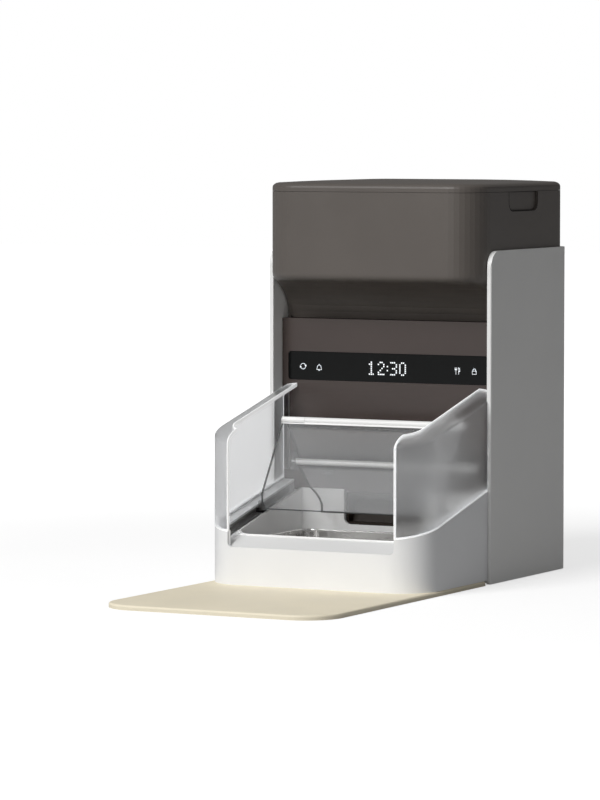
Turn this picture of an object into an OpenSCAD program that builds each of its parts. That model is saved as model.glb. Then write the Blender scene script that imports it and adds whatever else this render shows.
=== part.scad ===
// Automatic pet feeder that opens its lid for the tagged animal: a food tower with a
// bowl bay in front, a bi-fold clear lid, clear side shields and a mat.
// Millimetres, +Z up, the animal eats from the -Y side. Pieces are drawn with y = 0 at the
// front edge of the outer shell, and in_frame() moves them so that the origin lies on the
// floor under the middle of the whole feeder.

/* [Outer shell] */
// Width of the shell over both sides
shell_w = 230; // [215:1:260]
// Depth of the shell from its front edge to its back
shell_d = 180; // [175:1:200]
// Height of the shell's top edge
shell_top = 307; // [295:1:312]
// Thickness of the shell
shell_wall = 4.2; // [3:0.1:5]
// Height of the shell's lower edge above the floor
shell_lift = 0.8; // [0.5:0.1:1.5]
// Outside radius of the upright back corners
shell_back_r = 21; // [17:1:26]
// Radius of the top front corner in side view
shell_nose_r = 15.5; // [8:0.5:22]

/* [Food hopper] */
// How far the hopper stands out in front of the shell
hopper_over = 26; // [15:1:32]
// Height of the hopper's lower front edge
hopper_low = 277.6; // [270:0.2:282]
// Height of the parting line between hopper and lid
hopper_top = 360.4; // [345:0.2:375]
// Outside radius of the hopper's front corners
hopper_front_r = 32; // [24:1:40]
// Outside radius of the hopper's back corners
hopper_back_r = 16; // [12:1:16]
// Radius of the hopper's lower edge
hopper_edge_r = 7.5; // [3:0.5:9]
// Wall of the hopper
hopper_wall = 2.6; // [2:0.1:3.2]
// Radius of the hollow under the overhang
cove_r = 50.8; // [45:0.2:54]
// Height of the hollow under the overhang
cove_h = 36.6; // [33:0.2:42]
// Rise of the domed lid over the parting line
lid_rise = 10.5; // [9:0.5:18]
// Height of the lid's upright edge
lid_band = 3.5; // [2:0.1:5]
// Width of the rounding above the lid's edge
lid_edge_w = 6; // [3:0.5:9]

/* [Side latches] */
// Length of each latch button along the side
latch_len = 63; // [45:1:80]
// Height of each latch button
latch_h = 17.4; // [12:0.2:24]
// Distance of the latch buttons' front ends behind the shell's front edge
latch_y = 48; // [40:1:60]
// Travel of a latch button
latch_travel = 2.5; // [1.5:0.1:3]
// How far a latch button's face lies behind the hopper's side
latch_recess = 2.2; // [1:0.1:3]

/* [Front panel] */
// Distance of the panel's face behind the shell's front edge
panel_y = 18; // [17:0.5:22]
// Thickness of the panel
panel_t = 3; // [2.4:0.1:4]
// Lower edge of the panel
panel_low = 79; // [77:0.5:84]
// Lower edge of the display strip
display_low = 183; // [160:1:190]
// Height of the display strip
display_h = 26.5; // [18:0.5:36]
// Distance from the shell's side to the end of the display strip
display_side = 11; // [9:1:25]
// Thickness of the display window
lens_t = 1.5; // [1:0.1:1.8]

/* [Bowl bay] */
// How far the base's sides lie inside the shell's
bay_inset = 3; // [1:0.5:4]
// How far the base stands out in front of the shell
bay_d = 140; // [132:1:155]
// Outside radius of the base's front corners
bay_r = 37; // [30:1:42]
// Wall of the base and of the shields
bay_wall = 3.4; // [2.6:0.1:3.8]
// Slope of the rim, the rails and the shields' top edges in degrees
slope = 13.8; // [10:0.1:15]
// Height of the base's rim at the shell's front edge
rim_h = 86.7; // [84:0.2:92]
// Height of the shields' top at the shell's front edge
shield_top = 175.4; // [165:0.2:178]
// Width of the lip that the shields turn inward
lip_w = 17.3; // [10:0.1:19]
// Height of the rounding between a shield's side and its lip
lip_h = 8; // [5:0.5:14]
// Width of the posts beside the front opening
post_w = 27.6; // [24:0.2:34]
// Lower edge of the front opening
notch_low = 39; // [34:0.5:42]
// Radius of the front opening's lower corners
notch_r = 4; // [2:0.5:8]

/* [Tray and bowl] */
// Width of the base's side wall and rail, from its outside to the tray
side_w = 20.7; // [20:0.1:24]
// Height of the tray's rim plane at the shell's front edge
tray_h = 77; // [75:0.2:79]
// Width of the tray's rim
tray_rim = 3.3; // [2.4:0.1:5]
// Distance of the well's front edge in front of the shell
well_front = 116; // [110:1:120]
// Height of the bowl's rim
bowl_rim = 42; // [40:0.5:46]
// Depth of the bowl
bowl_deep = 29; // [20:1:31]
// Thickness of the bowl's sheet
bowl_t = 1; // [0.8:0.1:1.4]
// Half width of the food outlet
outlet_x = 44; // [36:1:50]
// Lower edge of the food outlet
outlet_low = 48.5; // [47:0.5:56]

/* [Folding lid] */
// Height of the hinge on the panel
hinge_h = 106; // [104:0.5:110]
// Distance of the hinge behind the shell's front edge
hinge_y = 13; // [11:0.2:13]
// Distance of the ridge in front of the shell
ridge_out = 16; // [12:0.5:20]
// Height of the ridge
ridge_h = 147; // [140:0.5:152]
// Distance of the guide pins in front of the shell
pin_out = 51; // [46:0.5:56]
// How far the front leaf reaches over the tray at each side
leaf_over = 0.7; // [-3:0.1:1]
// How much narrower than the front leaf the rear leaf is at each side
rear_in = 3.5; // [3.5:0.5:9]
// Thickness of the clear leaves
leaf_t = 2.4; // [1.6:0.1:3]
// Radius of the hinge barrels
barrel_r = 3.2; // [2.8:0.1:3.8]
// Radius of the hinge rods
rod_r = 1.5; // [1:0.1:1.8]
// Radius of the guide pins
pin_r = 2; // [1.4:0.1:2.2]

/* [Mat] */
// How far the mat reaches in front of the shell
mat_d = 331; // [250:1:360]
// How far the mat reaches past the base at each side
mat_side = 1; // [-8:0.5:2]
// Thickness of the mat
mat_t = 4.4; // [3:0.1:5]
// Radius of the mat's front corners
mat_r = 35; // [20:1:50]

/* [Dispenser] */
// Distance of the rotor's axis behind the shell's front edge
rotor_y = 100; // [92:1:106]
// Inside radius of the rotor's drum
drum_r = 42; // [36:0.5:46]
// Height of the drum's floor
drum_low = 176; // [170:1:184]
// Height of the drum
drum_h = 38; // [30:1:42]
// Number of rotor vanes
vanes = 6; // [4:1:8]
// Radius of the rotor's shaft
shaft_r = 3; // [2:0.5:4]
// Radius of the dispenser's gear motor
motor_r = 18.5; // [15:0.5:20]
// Height of the dispenser's gear motor
motor_h = 46; // [36:1:60]

/* [Lid drive] */
// Tooth size of the lid gears
gear_m = 1; // [0.8:0.1:1.1]
// Teeth of the gear on the hinge shaft
gear_teeth = 20; // [18:1:22]
// Teeth of the motor's pinion
pinion_teeth = 12; // [10:1:14]

/* [Base and electrics] */
// Thickness of the base plate
plate_t = 3; // [2.4:0.1:4]
// Height of the rubber feet under the plate
feet_h = 2; // [1.5:0.1:3]
// Radius of the rubber feet
feet_r = 7; // [5:0.5:9]
// Half width of the battery box
battery_x = 55; // [45:1:60]
// Depth of the battery box
battery_d = 68; // [60:1:75]
// Height of the battery box
battery_h = 40; // [36:1:44]
// Radius of the power socket's bore
socket_r = 2.85; // [2.5:0.05:3.2]
// Radius of the base screws
screw_r = 1.5; // [1.2:0.1:2]

/* [Fits] */
// Gap between pieces that lie side by side
gap = 0.3; // [0.2:0.05:0.4]
// Radial clearance of shafts and pins in their bores
run = 0.05; // [0.02:0.01:0.1]

/* [Hidden] */
$fn = 48;
far = 600;
steep = tan(slope);

// overall
frame_shift = (mat_d - shell_d) / 2;
shell_x = shell_w / 2;
inner_x = shell_x - shell_wall;
fit_x = inner_x - gap;
inner_back = shell_d - shell_wall;
fit_back = inner_back - gap;
fit_back_r = shell_back_r - shell_wall - gap;

// hopper
hopper_front = -hopper_over;
cove_y = hopper_front + hopper_edge_r;
cove_z = hopper_low - cove_r;
cove_low = hopper_low - cove_h;
cove_end = asin(1 - cove_h / cove_r);
cove_t = 2.6;
skirt_y = cove_y + cove_r * cos(cove_end);
floor_h = hopper_low + 5.4;
floor_t = 3;
mouth_inset = 11.7;
deck_t = 2.6;
funnel_front = 14.5;
funnel_back = fit_back - 12;
funnel_x = fit_x - 12.5;
funnel_t = 2;
funnel_edge = 4;
throat_r = drum_r - 2;
lid_edge_h = 4;
lid_crown = lid_rise - gap - lid_band - lid_edge_h;
lid_crown_w = 70;
lid_pocket = 5;
dryer_x = 32;
dryer_y = 58;
dryer_d = 44;
dryer_h = 11;
dryer_wall = 2;
latch_t = 3.4;
latch_flange = 1.6;
latch_r = 8;

// bay
display_x = shell_x - display_side;
bay_x = shell_x - bay_inset;
notch_x = bay_x - post_w;
tray_x = bay_x - side_w;
mat_x = bay_x + mat_side;
tub_in = bay_x - bay_wall;
tub_floor = 3;
step_y = -0.4;
tub_back = panel_y + 2;
ledge_t = 2;
ledge_h = tray_h + 7.5;
rail_x = tray_x + 6.5;
rail_deep = 7.5;
rail_under = 8;
rail_end = 6;
pin_h = tray_h + 0.5;
groove_low = 2.5;
groove_high = 5;
rail_front = 119;
tray_floor = 1.6;
tray_front = bay_d - bay_wall - gap;
tray_r = 17;
well_x = tray_x - tray_rim;
well_r = 15;
bowl_slope = 9;
shelf = 6;
shield_back = panel_y - 0.4;
shield_flange = 9;

// lid linkage
leaf_x = tray_x + leaf_over;
rear_x = leaf_x - rear_in;
pin_z = pin_h - steep * pin_out;
bend_y = -58.5;
bend_z = 81;
lip_y = -57.7;
lip_z = 66.5;
bend_r = 9;
strip_w = 9;
strip_t = 3.2;
strip_from = barrel_r - 0.6;
knuckle = 24;
bracket_t = 4;
bracket_x = leaf_x + 0.6;
lug_t = 3;
lug_r = 2;
pin_reach = 6.2;
gear_x = bracket_x + bracket_t + 0.6;
gear_w = 3;

// guard over the outlet
guard_t = 1.8;
guard_top = hinge_h - barrel_r - 2;
guard_low = 61;
guard_out = 21;
guard_x = 55;

// gears
gear_pitch = gear_m * gear_teeth / 2;
pinion_pitch = gear_m * pinion_teeth / 2;
pinion_y = hinge_y + gear_pitch + pinion_pitch + 0.1;
motor_box = [26, 10, 12];

// light gate at the chute
sensor_y = 44;
sensor_z = 96;
sensor_w = 8;
sensor_d = 12;

// base
plate_top = feet_h + plate_t;
battery_y = 68;
box_wall = 2;
screw_y = [32, 150];
boss_r = 5.4;
boss_top = 24;
inlet_x = shell_x - 45;
inlet_z = 26;
shell_front_r = 1.4;
speaker_r = 15;
speaker_x = speaker_r + 13.8 - inner_x;
speaker_y = 98;
slot_pitch = 5;
board_t = 1.6;
board_x = 45;
board_low = 66;
board_top = 150;
board_edge = 5;
post_h = 8;
coil_x = 58;
coil_low = 118;
coil_h = 56;
coil_w = 10;

module in_frame() {
    translate([0, frame_shift, 0]) children();
}

// Outline between y = front and y = back, with its own radius at the front and back corners
module tower_outline(x, front, back, front_r, back_r) {
    for (side = [-1, 1]) {
        translate([side * (x - front_r), front + front_r]) circle(r = front_r);
        translate([side * (x - back_r), back - back_r]) circle(r = back_r);
    }
    polygon([
        [-x + front_r, front], [x - front_r, front], [x, front + front_r], [x, back - back_r],
        [x - back_r, back], [-x + back_r, back], [-x, back - back_r], [-x, front + front_r],
    ]);
}

// Outline with round front corners and square back corners
module bay_outline(x, front, back, r) {
    for (side = [-1, 1]) {
        translate([side * (x - r), front + r]) circle(r = r);
    }
    polygon([[-x + r, front], [x - r, front], [x, front + r], [x, back], [-x, back], [-x, front + r]]);
}

// Everything under the sloping plane that passes z = h at y = 0
module below_slope(h) {
    translate([0, 0, h]) rotate([slope, 0, 0]) translate([-far / 2, -far / 2, -far]) cube(far);
}

// The layer between two heights of that plane
module slope_layer(low, high) {
    difference() {
        below_slope(high);
        below_slope(low);
    }
}

// Extrusion along X of an outline drawn in (y, z)
module along_x(low, high) {
    translate([low, 0, 0]) rotate([90, 0, 90]) linear_extrude(high - low) children();
}

// Extrusion along Y of an outline drawn in (x, z)
module along_y(low, high) {
    translate([0, high, 0]) rotate([90, 0, 0]) linear_extrude(high - low) children();
}

// Rod along X through a point in (y, z)
module rod(low, high, y, z, r) {
    translate([low, y, z]) rotate([0, 90, 0]) cylinder(r = r, h = high - low);
}

// Rectangle with round corners, drawn from its low corner
module soft_box(w, h, r) {
    for (x = [r, w - r], y = [r, h - r]) {
        translate([x, y]) circle(r = r);
    }
    translate([r, 0]) square([w - 2 * r, h]);
    translate([0, r]) square([w, h - 2 * r]);
}

// Closed band of thickness t through a list of points
module ribbon(points, t) {
    for (i = [0:len(points) - 2]) {
        hull() {
            translate(points[i]) circle(d = t, $fn = 24);
            translate(points[i + 1]) circle(d = t, $fn = 24);
        }
    }
}

// Involute tooth outline of a spur gear around the origin
function involute(base, a) = base * [cos(a) + a * PI / 180 * sin(a), sin(a) - a * PI / 180 * cos(a)];
function turned(p, a) = [p[0] * cos(a) - p[1] * sin(a), p[0] * sin(a) + p[1] * cos(a)];
function mirrored(p) = [p[0], -p[1]];
module gear_outline(teeth, m, slack) {
    pitch = teeth * m / 2;
    base = pitch * cos(20);
    tip = pitch + m * 0.9;
    root = pitch - m * 1.25;
    roll = sqrt(pow(pitch / base, 2) - 1) * 180 / PI;
    face = atan2(involute(base, roll)[1], involute(base, roll)[0]);
    half = 90 / teeth - slack / pitch * 90 / PI + face;
    last = sqrt(pow(tip / base, 2) - 1) * 180 / PI;
    flank = [for (i = [0:4]) turned(involute(base, last * i / 4), -half)];
    tooth = concat([turned([root, 0], -half)], flank);
    back = [for (i = [len(tooth) - 1:-1:0]) mirrored(tooth[i])];
    polygon([
        for (n = [0:teeth - 1])
            each [for (p = concat(tooth, back)) turned(p, n * 360 / teeth)]
    ]);
}

// White side and back walls, wrapped round the tower in one sheet
module outer_shell() color("#e4e4e2") in_frame() {
    difference() {
        translate([0, 0, shell_lift]) linear_extrude(shell_top - shell_lift) difference() {
            tower_outline(shell_x, 0, shell_d, shell_front_r, shell_back_r);
            tower_outline(inner_x, -far, inner_back, 1, shell_back_r - shell_wall);
        }
        along_x(-shell_x - 1, shell_x + 1) difference() {
            translate([-1, shell_top - shell_nose_r]) square(shell_nose_r + 1);
            translate([shell_nose_r, shell_top - shell_nose_r]) circle(r = shell_nose_r);
        }
        translate([inlet_x, shell_d + 1, inlet_z]) rotate([90, 0, 0])
            cylinder(r = socket_r + 3.5, h = shell_wall + 2);
    }
    for (side = [-1, 1], y = screw_y) {
        difference() {
            intersection() {
                union() {
                    translate([side * (inner_x - boss_r), y, plate_top + gap])
                        cylinder(r = boss_r, h = boss_top - plate_top);
                    translate([side * (inner_x - boss_r / 2 + 0.5) - boss_r / 2, y - 1.5, plate_top + gap])
                        cube([boss_r, 3, boss_top - plate_top]);
                }
                translate([-shell_x + 1, 0, 0]) cube([shell_w - 2, shell_d - 1, shell_top]);
            }
            translate([side * (inner_x - boss_r), y, 0]) cylinder(r = screw_r, h = boss_top - 4);
        }
    }
}

// Plate that closes the tower from below
module base_plate() color("#d8d8d5") in_frame() {
    difference() {
        translate([0, 0, feet_h]) linear_extrude(plate_t)
            tower_outline(fit_x, 1, fit_back, 2, fit_back_r);
        for (side = [-1, 1], y = screw_y) {
            translate([side * (inner_x - boss_r), y, 0]) {
                cylinder(r = screw_r + run, h = plate_top + 1);
                cylinder(r = screw_r * 2 + gap, h = feet_h + plate_t / 2);
            }
        }
        translate([-battery_x + box_wall, battery_y + box_wall, 0])
            cube([2 * (battery_x - box_wall), battery_d - 2 * box_wall, plate_top + 1]);
        for (n = [-2:2]) {
            translate([speaker_x + n * slot_pitch, speaker_y - speaker_r + 3, 0])
                cube([2, 2 * speaker_r - 6, plate_top + 1]);
        }
    }
}

module rubber_feet() color("#2b2b2b") in_frame() {
    for (side = [-1, 1], y = [16, shell_d - 22]) {
        translate([side * (shell_x - 26), y, 0]) {
            cylinder(r1 = feet_r - 0.8, r2 = feet_r, h = 0.8);
            translate([0, 0, 0.8]) cylinder(r = feet_r, h = feet_h - 0.8);
        }
    }
}

module base_screws() color("#9a9a9a") in_frame() {
    for (side = [-1, 1], y = screw_y) {
        translate([side * (inner_x - boss_r), y, feet_h + plate_t / 2 - screw_r]) {
            difference() {
                union() {
                    cylinder(r = screw_r * 2, h = screw_r);
                    cylinder(r = screw_r, h = 16);
                }
                for (turn = [0, 90]) {
                    rotate(turn) translate([-screw_r - 0.4, -0.4, -1])
                        cube([2 * screw_r + 0.8, 0.8, 1 + screw_r / 2]);
                }
            }
        }
    }
}

// Open-bottomed box for the spare batteries, over a hole in the plate
module battery_box() color("#3a3a3a") in_frame() {
    difference() {
        translate([-battery_x, battery_y, plate_top]) cube([2 * battery_x, battery_d, battery_h]);
        translate([-battery_x + box_wall, battery_y + box_wall, 0])
            cube([2 * (battery_x - box_wall), battery_d - 2 * box_wall, plate_top + battery_h - box_wall]);
    }
}

module battery_door() color("#d8d8d5") in_frame() {
    inset = box_wall + gap;
    translate([-battery_x + inset, battery_y + inset, feet_h])
        cube([2 * (battery_x - inset), battery_d - 2 * inset, plate_t]);
    for (side = [-1, 1]) {
        translate([side * (battery_x - 12) - 6, battery_y + inset, plate_top])
            cube([12, 1.6, 5]);
    }
}

// Round socket for the plug of the mains adapter
module power_inlet() color("#1f1f1f") in_frame() {
    translate([inlet_x, shell_d, inlet_z]) rotate([90, 0, 0]) {
        difference() {
            union() {
                cylinder(r = socket_r + 3.2, h = shell_wall);
                translate([0, 0, shell_wall]) cylinder(r = socket_r + 5, h = 2);
                translate([0, 0, shell_wall + 2]) cylinder(r = socket_r + 2.6, h = 6);
            }
            translate([0, 0, -1]) cylinder(r = socket_r, h = 10.5);
        }
        cylinder(r = 1, h = 11);
    }
}

// Control board on posts at the back wall
module main_board() color("#1e5a3a") in_frame() {
    hole_r = 1.4;
    face = fit_back - post_h - board_t;
    holes = [
        for (x = [-board_x + board_edge, board_x - board_edge])
            for (z = [board_low + board_edge, board_top - board_edge]) [x, inner_back, z]
    ];
    difference() {
        translate([-board_x, face, board_low]) cube([2 * board_x, board_t, board_top - board_low]);
        for (hole = holes) {
            translate(hole) rotate([90, 0, 0]) cylinder(r = hole_r, h = post_h + 12);
        }
    }
    for (hole = holes) {
        translate(hole) rotate([90, 0, 0]) difference() {
            cylinder(r = 3, h = post_h + gap);
            translate([0, 0, -1]) cylinder(r = hole_r, h = post_h + 12);
        }
    }
    translate([-12, face - 2, board_low + 34]) cube([24, 2, 24]);
    translate([14, face - 6, board_low + 8]) cube([20, 6, 12]);
}

module speaker() color("#202020") in_frame() {
    translate([speaker_x, speaker_y, plate_top]) {
        difference() {
            cylinder(r = speaker_r, h = 5);
            translate([0, 0, -1]) cylinder(r = speaker_r - 2.5, h = 4.5);
        }
        translate([0, 0, 5]) cylinder(r = 8, h = 5);
    }
}

// One rounded corner of the hopper's body: straight above, round along its lower edge
module hopper_corner(r) {
    e = hopper_edge_r;
    rotate_extrude($fn = 40) {
        square([r - e, e]);
        translate([r - e, e]) intersection() {
            circle(r = e, $fn = 24);
            translate([0, -e]) square(e);
        }
        translate([0, e]) square([r, hopper_top - hopper_low - e]);
    }
}

// Section across the overhang where its hollow's arc has the slope angle a. Its lower edges
// are as round as the front one, also where the plan's corner makes it narrower.
function cove_section(a) =
    let (
        e = hopper_edge_r,
        y = cove_y + cove_r * cos(a),
        low = cove_z + cove_r * sin(a),
        top = hopper_low + e + 1,
        into_corner = max(hopper_front + hopper_front_r - y, 0) / hopper_front_r,
        square_on = sqrt(1 - into_corner * into_corner),
        x = fit_x - hopper_front_r * (1 - square_on),
        edge = [for (t = [0:18:90]) [x - e / square_on * (1 - cos(t)), y, low + e * (1 - sin(t))]]
    )
    concat(
        [[-x, y, top], [x, y, top]],
        edge,
        [for (i = [len(edge) - 1:-1:0]) [-edge[i][0], y, edge[i][2]]]
    );

// Solid lofted through sections with as many points each
module loft(sections) {
    n = len(sections[0]);
    last = len(sections) - 1;
    polyhedron(
        points = [for (section = sections) each section],
        faces = concat(
            [[for (k = [0:n - 1]) k]],
            [[for (k = [n - 1:-1:0]) last * n + k]],
            [for (i = [0:last - 1], k = [0:n - 1])
                [i * n + k, (i + 1) * n + k, (i + 1) * n + (k + 1) % n]],
            [for (i = [0:last - 1], k = [0:n - 1])
                [i * n + k, (i + 1) * n + (k + 1) % n, i * n + (k + 1) % n]]
        )
    );
}

// Food tank: open mouth above, seat of the funnel below, hollow under its overhang
module hopper_body() color("#4a433d") in_frame() {
    top = hopper_top - hopper_low;
    steps = 10;
    turn = (90 - cove_end) / steps;
    difference() {
        union() {
            translate([0, 0, hopper_low]) hull() {
                for (side = [-1, 1]) {
                    translate([side * (fit_x - hopper_front_r), hopper_front + hopper_front_r, 0])
                        hopper_corner(hopper_front_r);
                    translate([side * (fit_x - hopper_back_r), fit_back - hopper_back_r, 0])
                        hopper_corner(hopper_back_r);
                }
            }
            loft([for (i = [0:steps]) cove_section(90 - i * turn)]);
        }
        translate([0, 0, floor_h]) linear_extrude(hopper_top - deck_t - floor_h)
            tower_outline(fit_x - hopper_wall, hopper_front + hopper_wall, fit_back - hopper_wall,
                hopper_front_r - hopper_wall, hopper_back_r - hopper_wall);
        translate([0, 0, floor_h]) linear_extrude(top) hopper_mouth(0);
        translate([-funnel_x + funnel_edge, funnel_front + funnel_edge, floor_h - floor_t - 1])
            cube([2 * (funnel_x - funnel_edge), funnel_back - funnel_front - 2 * funnel_edge, 20]);
        // Room behind the hollow's wall and under the floor
        along_x(-fit_x + hopper_wall + hopper_edge_r, fit_x - hopper_wall - hopper_edge_r) difference() {
            translate([0, cove_low - 1]) square([fit_back - hopper_back_r, floor_h - floor_t - cove_low + 1]);
            translate([cove_y, cove_z]) circle(r = cove_r + cove_t, $fn = 96);
        }
        for (side = [-1, 1]) latch_pocket(side);
    }
    // Skirt inside the shell, from the hollow to the back
    translate([0, 0, cove_low]) linear_extrude(floor_h - floor_t - cove_low) difference() {
        tower_outline(fit_x, skirt_y - 0.6, fit_back, 0.5, hopper_back_r);
        tower_outline(fit_x - hopper_wall, -far, fit_back - hopper_wall, 0.5,
            hopper_back_r - hopper_wall);
    }
    for (side = [-1, 1]) latch_block(side);
}

module hopper_mouth(slack) {
    inset = mouth_inset + slack;
    tower_outline(fit_x - inset, hopper_front + inset, fit_back - inset,
        hopper_front_r - mouth_inset, 6);
}

// Outline of a latch button in side view, its lower corners round
module latch_outline(grow) {
    low = hopper_top - latch_h - grow;
    y0 = latch_y - grow;
    y1 = latch_y + latch_len + grow;
    r = latch_r + grow;
    translate([y0 + r, low + r]) circle(r = r);
    translate([y1 - r, low + r]) circle(r = r);
    translate([y0 + r, low]) square([y1 - y0 - 2 * r, latch_h + grow + 1]);
    translate([y0, low + r]) square([y1 - y0, latch_h + grow + 1 - r]);
}

latch_face = fit_x - latch_recess;
latch_back = latch_face - latch_t;
latch_frame = latch_face - latch_t + latch_flange + gap;
module latch_pocket(side) {
    mirror([side < 0 ? 1 : 0, 0, 0]) {
        along_x(latch_back - latch_travel - gap, fit_x + 1) latch_outline(0);
        along_x(latch_back - latch_travel - gap, latch_frame) latch_outline(2);
    }
}

module latch_block(side) {
    block_in = latch_back - latch_travel - gap - 2;
    mirror([side < 0 ? 1 : 0, 0, 0]) difference() {
        intersection() {
            along_x(block_in, fit_x - 1) latch_outline(5);
            cube([fit_x, far, hopper_top - deck_t / 2]);
        }
        along_x(block_in + 2, fit_x + 1) latch_outline(0);
        along_x(block_in + 2, latch_frame) latch_outline(2);
    }
}

module latch(side) {
    mirror([side < 0 ? 1 : 0, 0, 0]) difference() {
        union() {
            along_x(latch_back, latch_face) latch_outline(-gap);
            along_x(latch_back, latch_back + latch_flange) latch_outline(2 - gap);
        }
        translate([0, 0, hopper_top - gap]) cube([far, far, 20]);
    }
}

module left_latch() color("#37322e") in_frame() latch(-1);

module right_latch() color("#37322e") in_frame() latch(1);

// Height of the lid's upper face over its lower one, at a distance in from its edge
function lid_height(e) =
    lid_band + lid_edge_h * sqrt(1 - pow(1 - min(e / lid_edge_w, 1), 2))
    + lid_crown * (1 - pow(1 - e / lid_crown_w, 2));

module lid_slice(e, h) {
    corner = min(e, lid_edge_w);
    translate([0, 0, h]) linear_extrude(0.02)
        tower_outline(fit_x - e, hopper_front + e, fit_back - e, hopper_front_r - corner,
            hopper_back_r - corner, $fn = 40);
}

// Shallow domed lid that lifts off the food tank
module hopper_lid() color("#453e39") in_frame() {
    low = hopper_top + gap;
    edge = [for (a = [0:22.5:90]) lid_edge_w * (1 - cos(a))];
    crown = [for (i = [1:4]) lid_edge_w + (lid_crown_w - lid_edge_w) * i / 4];
    difference() {
        translate([0, 0, low]) hull() {
            lid_slice(0, 0);
            for (e = concat(edge, crown)) lid_slice(e, lid_height(e) - 0.02);
        }
        translate([0, 0, low - 1]) linear_extrude(lid_pocket + 1) hopper_mouth(3);
        translate([0, 0, low - 1]) linear_extrude(2) difference() {
            hopper_mouth(-6);
            hopper_mouth(-2.5);
        }
    }
    // Collar that drops into the mouth
    translate([0, 0, low - 8]) linear_extrude(9) difference() {
        hopper_mouth(gap);
        hopper_mouth(2.2);
    }
}

// Soft ring between lid and tank
module lid_seal() color("#8c8c88") in_frame() {
    translate([0, 0, hopper_top + gap]) linear_extrude(1) difference() {
        hopper_mouth(-5.7);
        hopper_mouth(-2.8);
    }
}

// Slotted box for drying agent under the lid
module desiccant_box() color("#dcdcd8") in_frame() {
    low = hopper_top - dryer_h;
    roof = hopper_top + gap + lid_pocket;
    slot = 3 * dryer_wall;
    difference() {
        translate([-dryer_x, dryer_y, low]) cube([2 * dryer_x, dryer_d, roof - low]);
        translate([-dryer_x + dryer_wall, dryer_y + dryer_wall, low + dryer_wall])
            cube([2 * (dryer_x - dryer_wall), dryer_d - 2 * dryer_wall, roof - low - 2 * dryer_wall]);
        for (n = [-5:5]) {
            translate([n * slot_pitch - 1, dryer_y + slot, low - 1])
                cube([2, dryer_d - 2 * slot, dryer_wall + 2]);
        }
    }
}

// Funnel from the tank's floor to the drum
module hopper_funnel() color("#5a534d") in_frame() {
    low = drum_low + drum_h + gap;
    difference() {
        union() {
            translate([-funnel_x, funnel_front, floor_h])
                cube([2 * funnel_x, funnel_back - funnel_front, 2]);
            hull() {
                translate([0, rotor_y, low]) cylinder(r = throat_r + funnel_t, h = 2);
                translate([
                    -funnel_x + funnel_edge + 1, funnel_front + funnel_edge + 1, floor_h - floor_t - 4
                ]) cube([2 * (funnel_x - funnel_edge - 1), funnel_back - funnel_front - 2 * funnel_edge - 2,
                        floor_t + 6]);
            }
        }
        hull() {
            translate([-funnel_x + funnel_edge + 3, funnel_front + funnel_edge + 3, floor_h + 1])
                cube([2 * (funnel_x - funnel_edge - 3), funnel_back - funnel_front - 2 * funnel_edge - 6, 6]);
            translate([0, rotor_y, low - 1]) cylinder(r = throat_r, h = 1.2);
        }
    }
}

// Drum under the funnel, with a window in its floor over the chute
module drum_housing() color("#dcdcd8") in_frame() {
    wall = 2.4;
    translate([0, rotor_y, drum_low]) difference() {
        union() {
            cylinder(r = drum_r + wall, h = drum_h);
            translate([0, 0, drum_h - 3]) cylinder(r = drum_r + wall + 5, h = 3);
        }
        translate([0, 0, wall]) cylinder(r = drum_r, h = drum_h);
        translate([0, 0, -1]) cylinder(r = shaft_r + 4, h = 10);
        drum_window();
    }
    for (side = [-1, 1]) {
        translate([side * (drum_r + wall + 1.5) - 2, rotor_y - 5, plate_top + battery_h + gap])
            cube([4, 10, drum_low + drum_h - 1 - plate_top - battery_h]);
    }
}

module drum_window() {
    intersection() {
        translate([0, 0, -1]) cylinder(r = drum_r - 3, h = 5);
        translate([-26, -drum_r, -1]) cube([52, drum_r + chute_back - rotor_y - 3, 5]);
    }
}

// Soft vanes that carry one portion at a time to the window
module rotor() color("#e8e2d4") in_frame() {
    low = drum_low + 2.4 + gap;
    high = drum_low + drum_h - 6;
    hub_r = 11;
    translate([0, rotor_y, 0]) difference() {
        union() {
            translate([0, 0, low]) cylinder(r = hub_r, h = high - low - 6);
            translate([0, 0, high - 6]) cylinder(r1 = hub_r, r2 = 5, h = 6);
            for (n = [0:vanes - 1]) {
                rotate(n * 360 / vanes + 15) {
                    translate([hub_r - 1, -1, low]) cube([drum_r - hub_r - 2, 2, high - low - 8]);
                    translate([drum_r - 3, 0, low]) cylinder(r = 1.6, h = high - low - 8);
                }
            }
        }
        translate([0, 0, low - 1]) cylinder(r = shaft_r, h = high - low - 3);
    }
}

module rotor_shaft() color("#b0b0b0") in_frame() {
    low = drum_low - motor_h + 12;
    translate([0, rotor_y, low]) cylinder(r = shaft_r, h = drum_low + drum_h - 10 - low);
}

// Gear motor below the drum
module dispenser_motor() color("#8e8e8e") in_frame() {
    top = drum_low - gap;
    translate([0, rotor_y, 0]) difference() {
        union() {
            translate([0, 0, top - motor_h]) cylinder(r = motor_r - 4, h = motor_h - 18);
            translate([0, 0, top - 20]) cylinder(r = motor_r, h = 16);
            translate([0, 0, top - 5]) cylinder(r = 6.5, h = 5);
            for (turn = [45:90:315]) {
                rotate(turn) translate([motor_r - 5, 0, top - 5]) cylinder(r = 3, h = 5);
            }
        }
        translate([0, 0, top - motor_h + 11]) cylinder(r = shaft_r + run, h = motor_h);
    }
}

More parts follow.
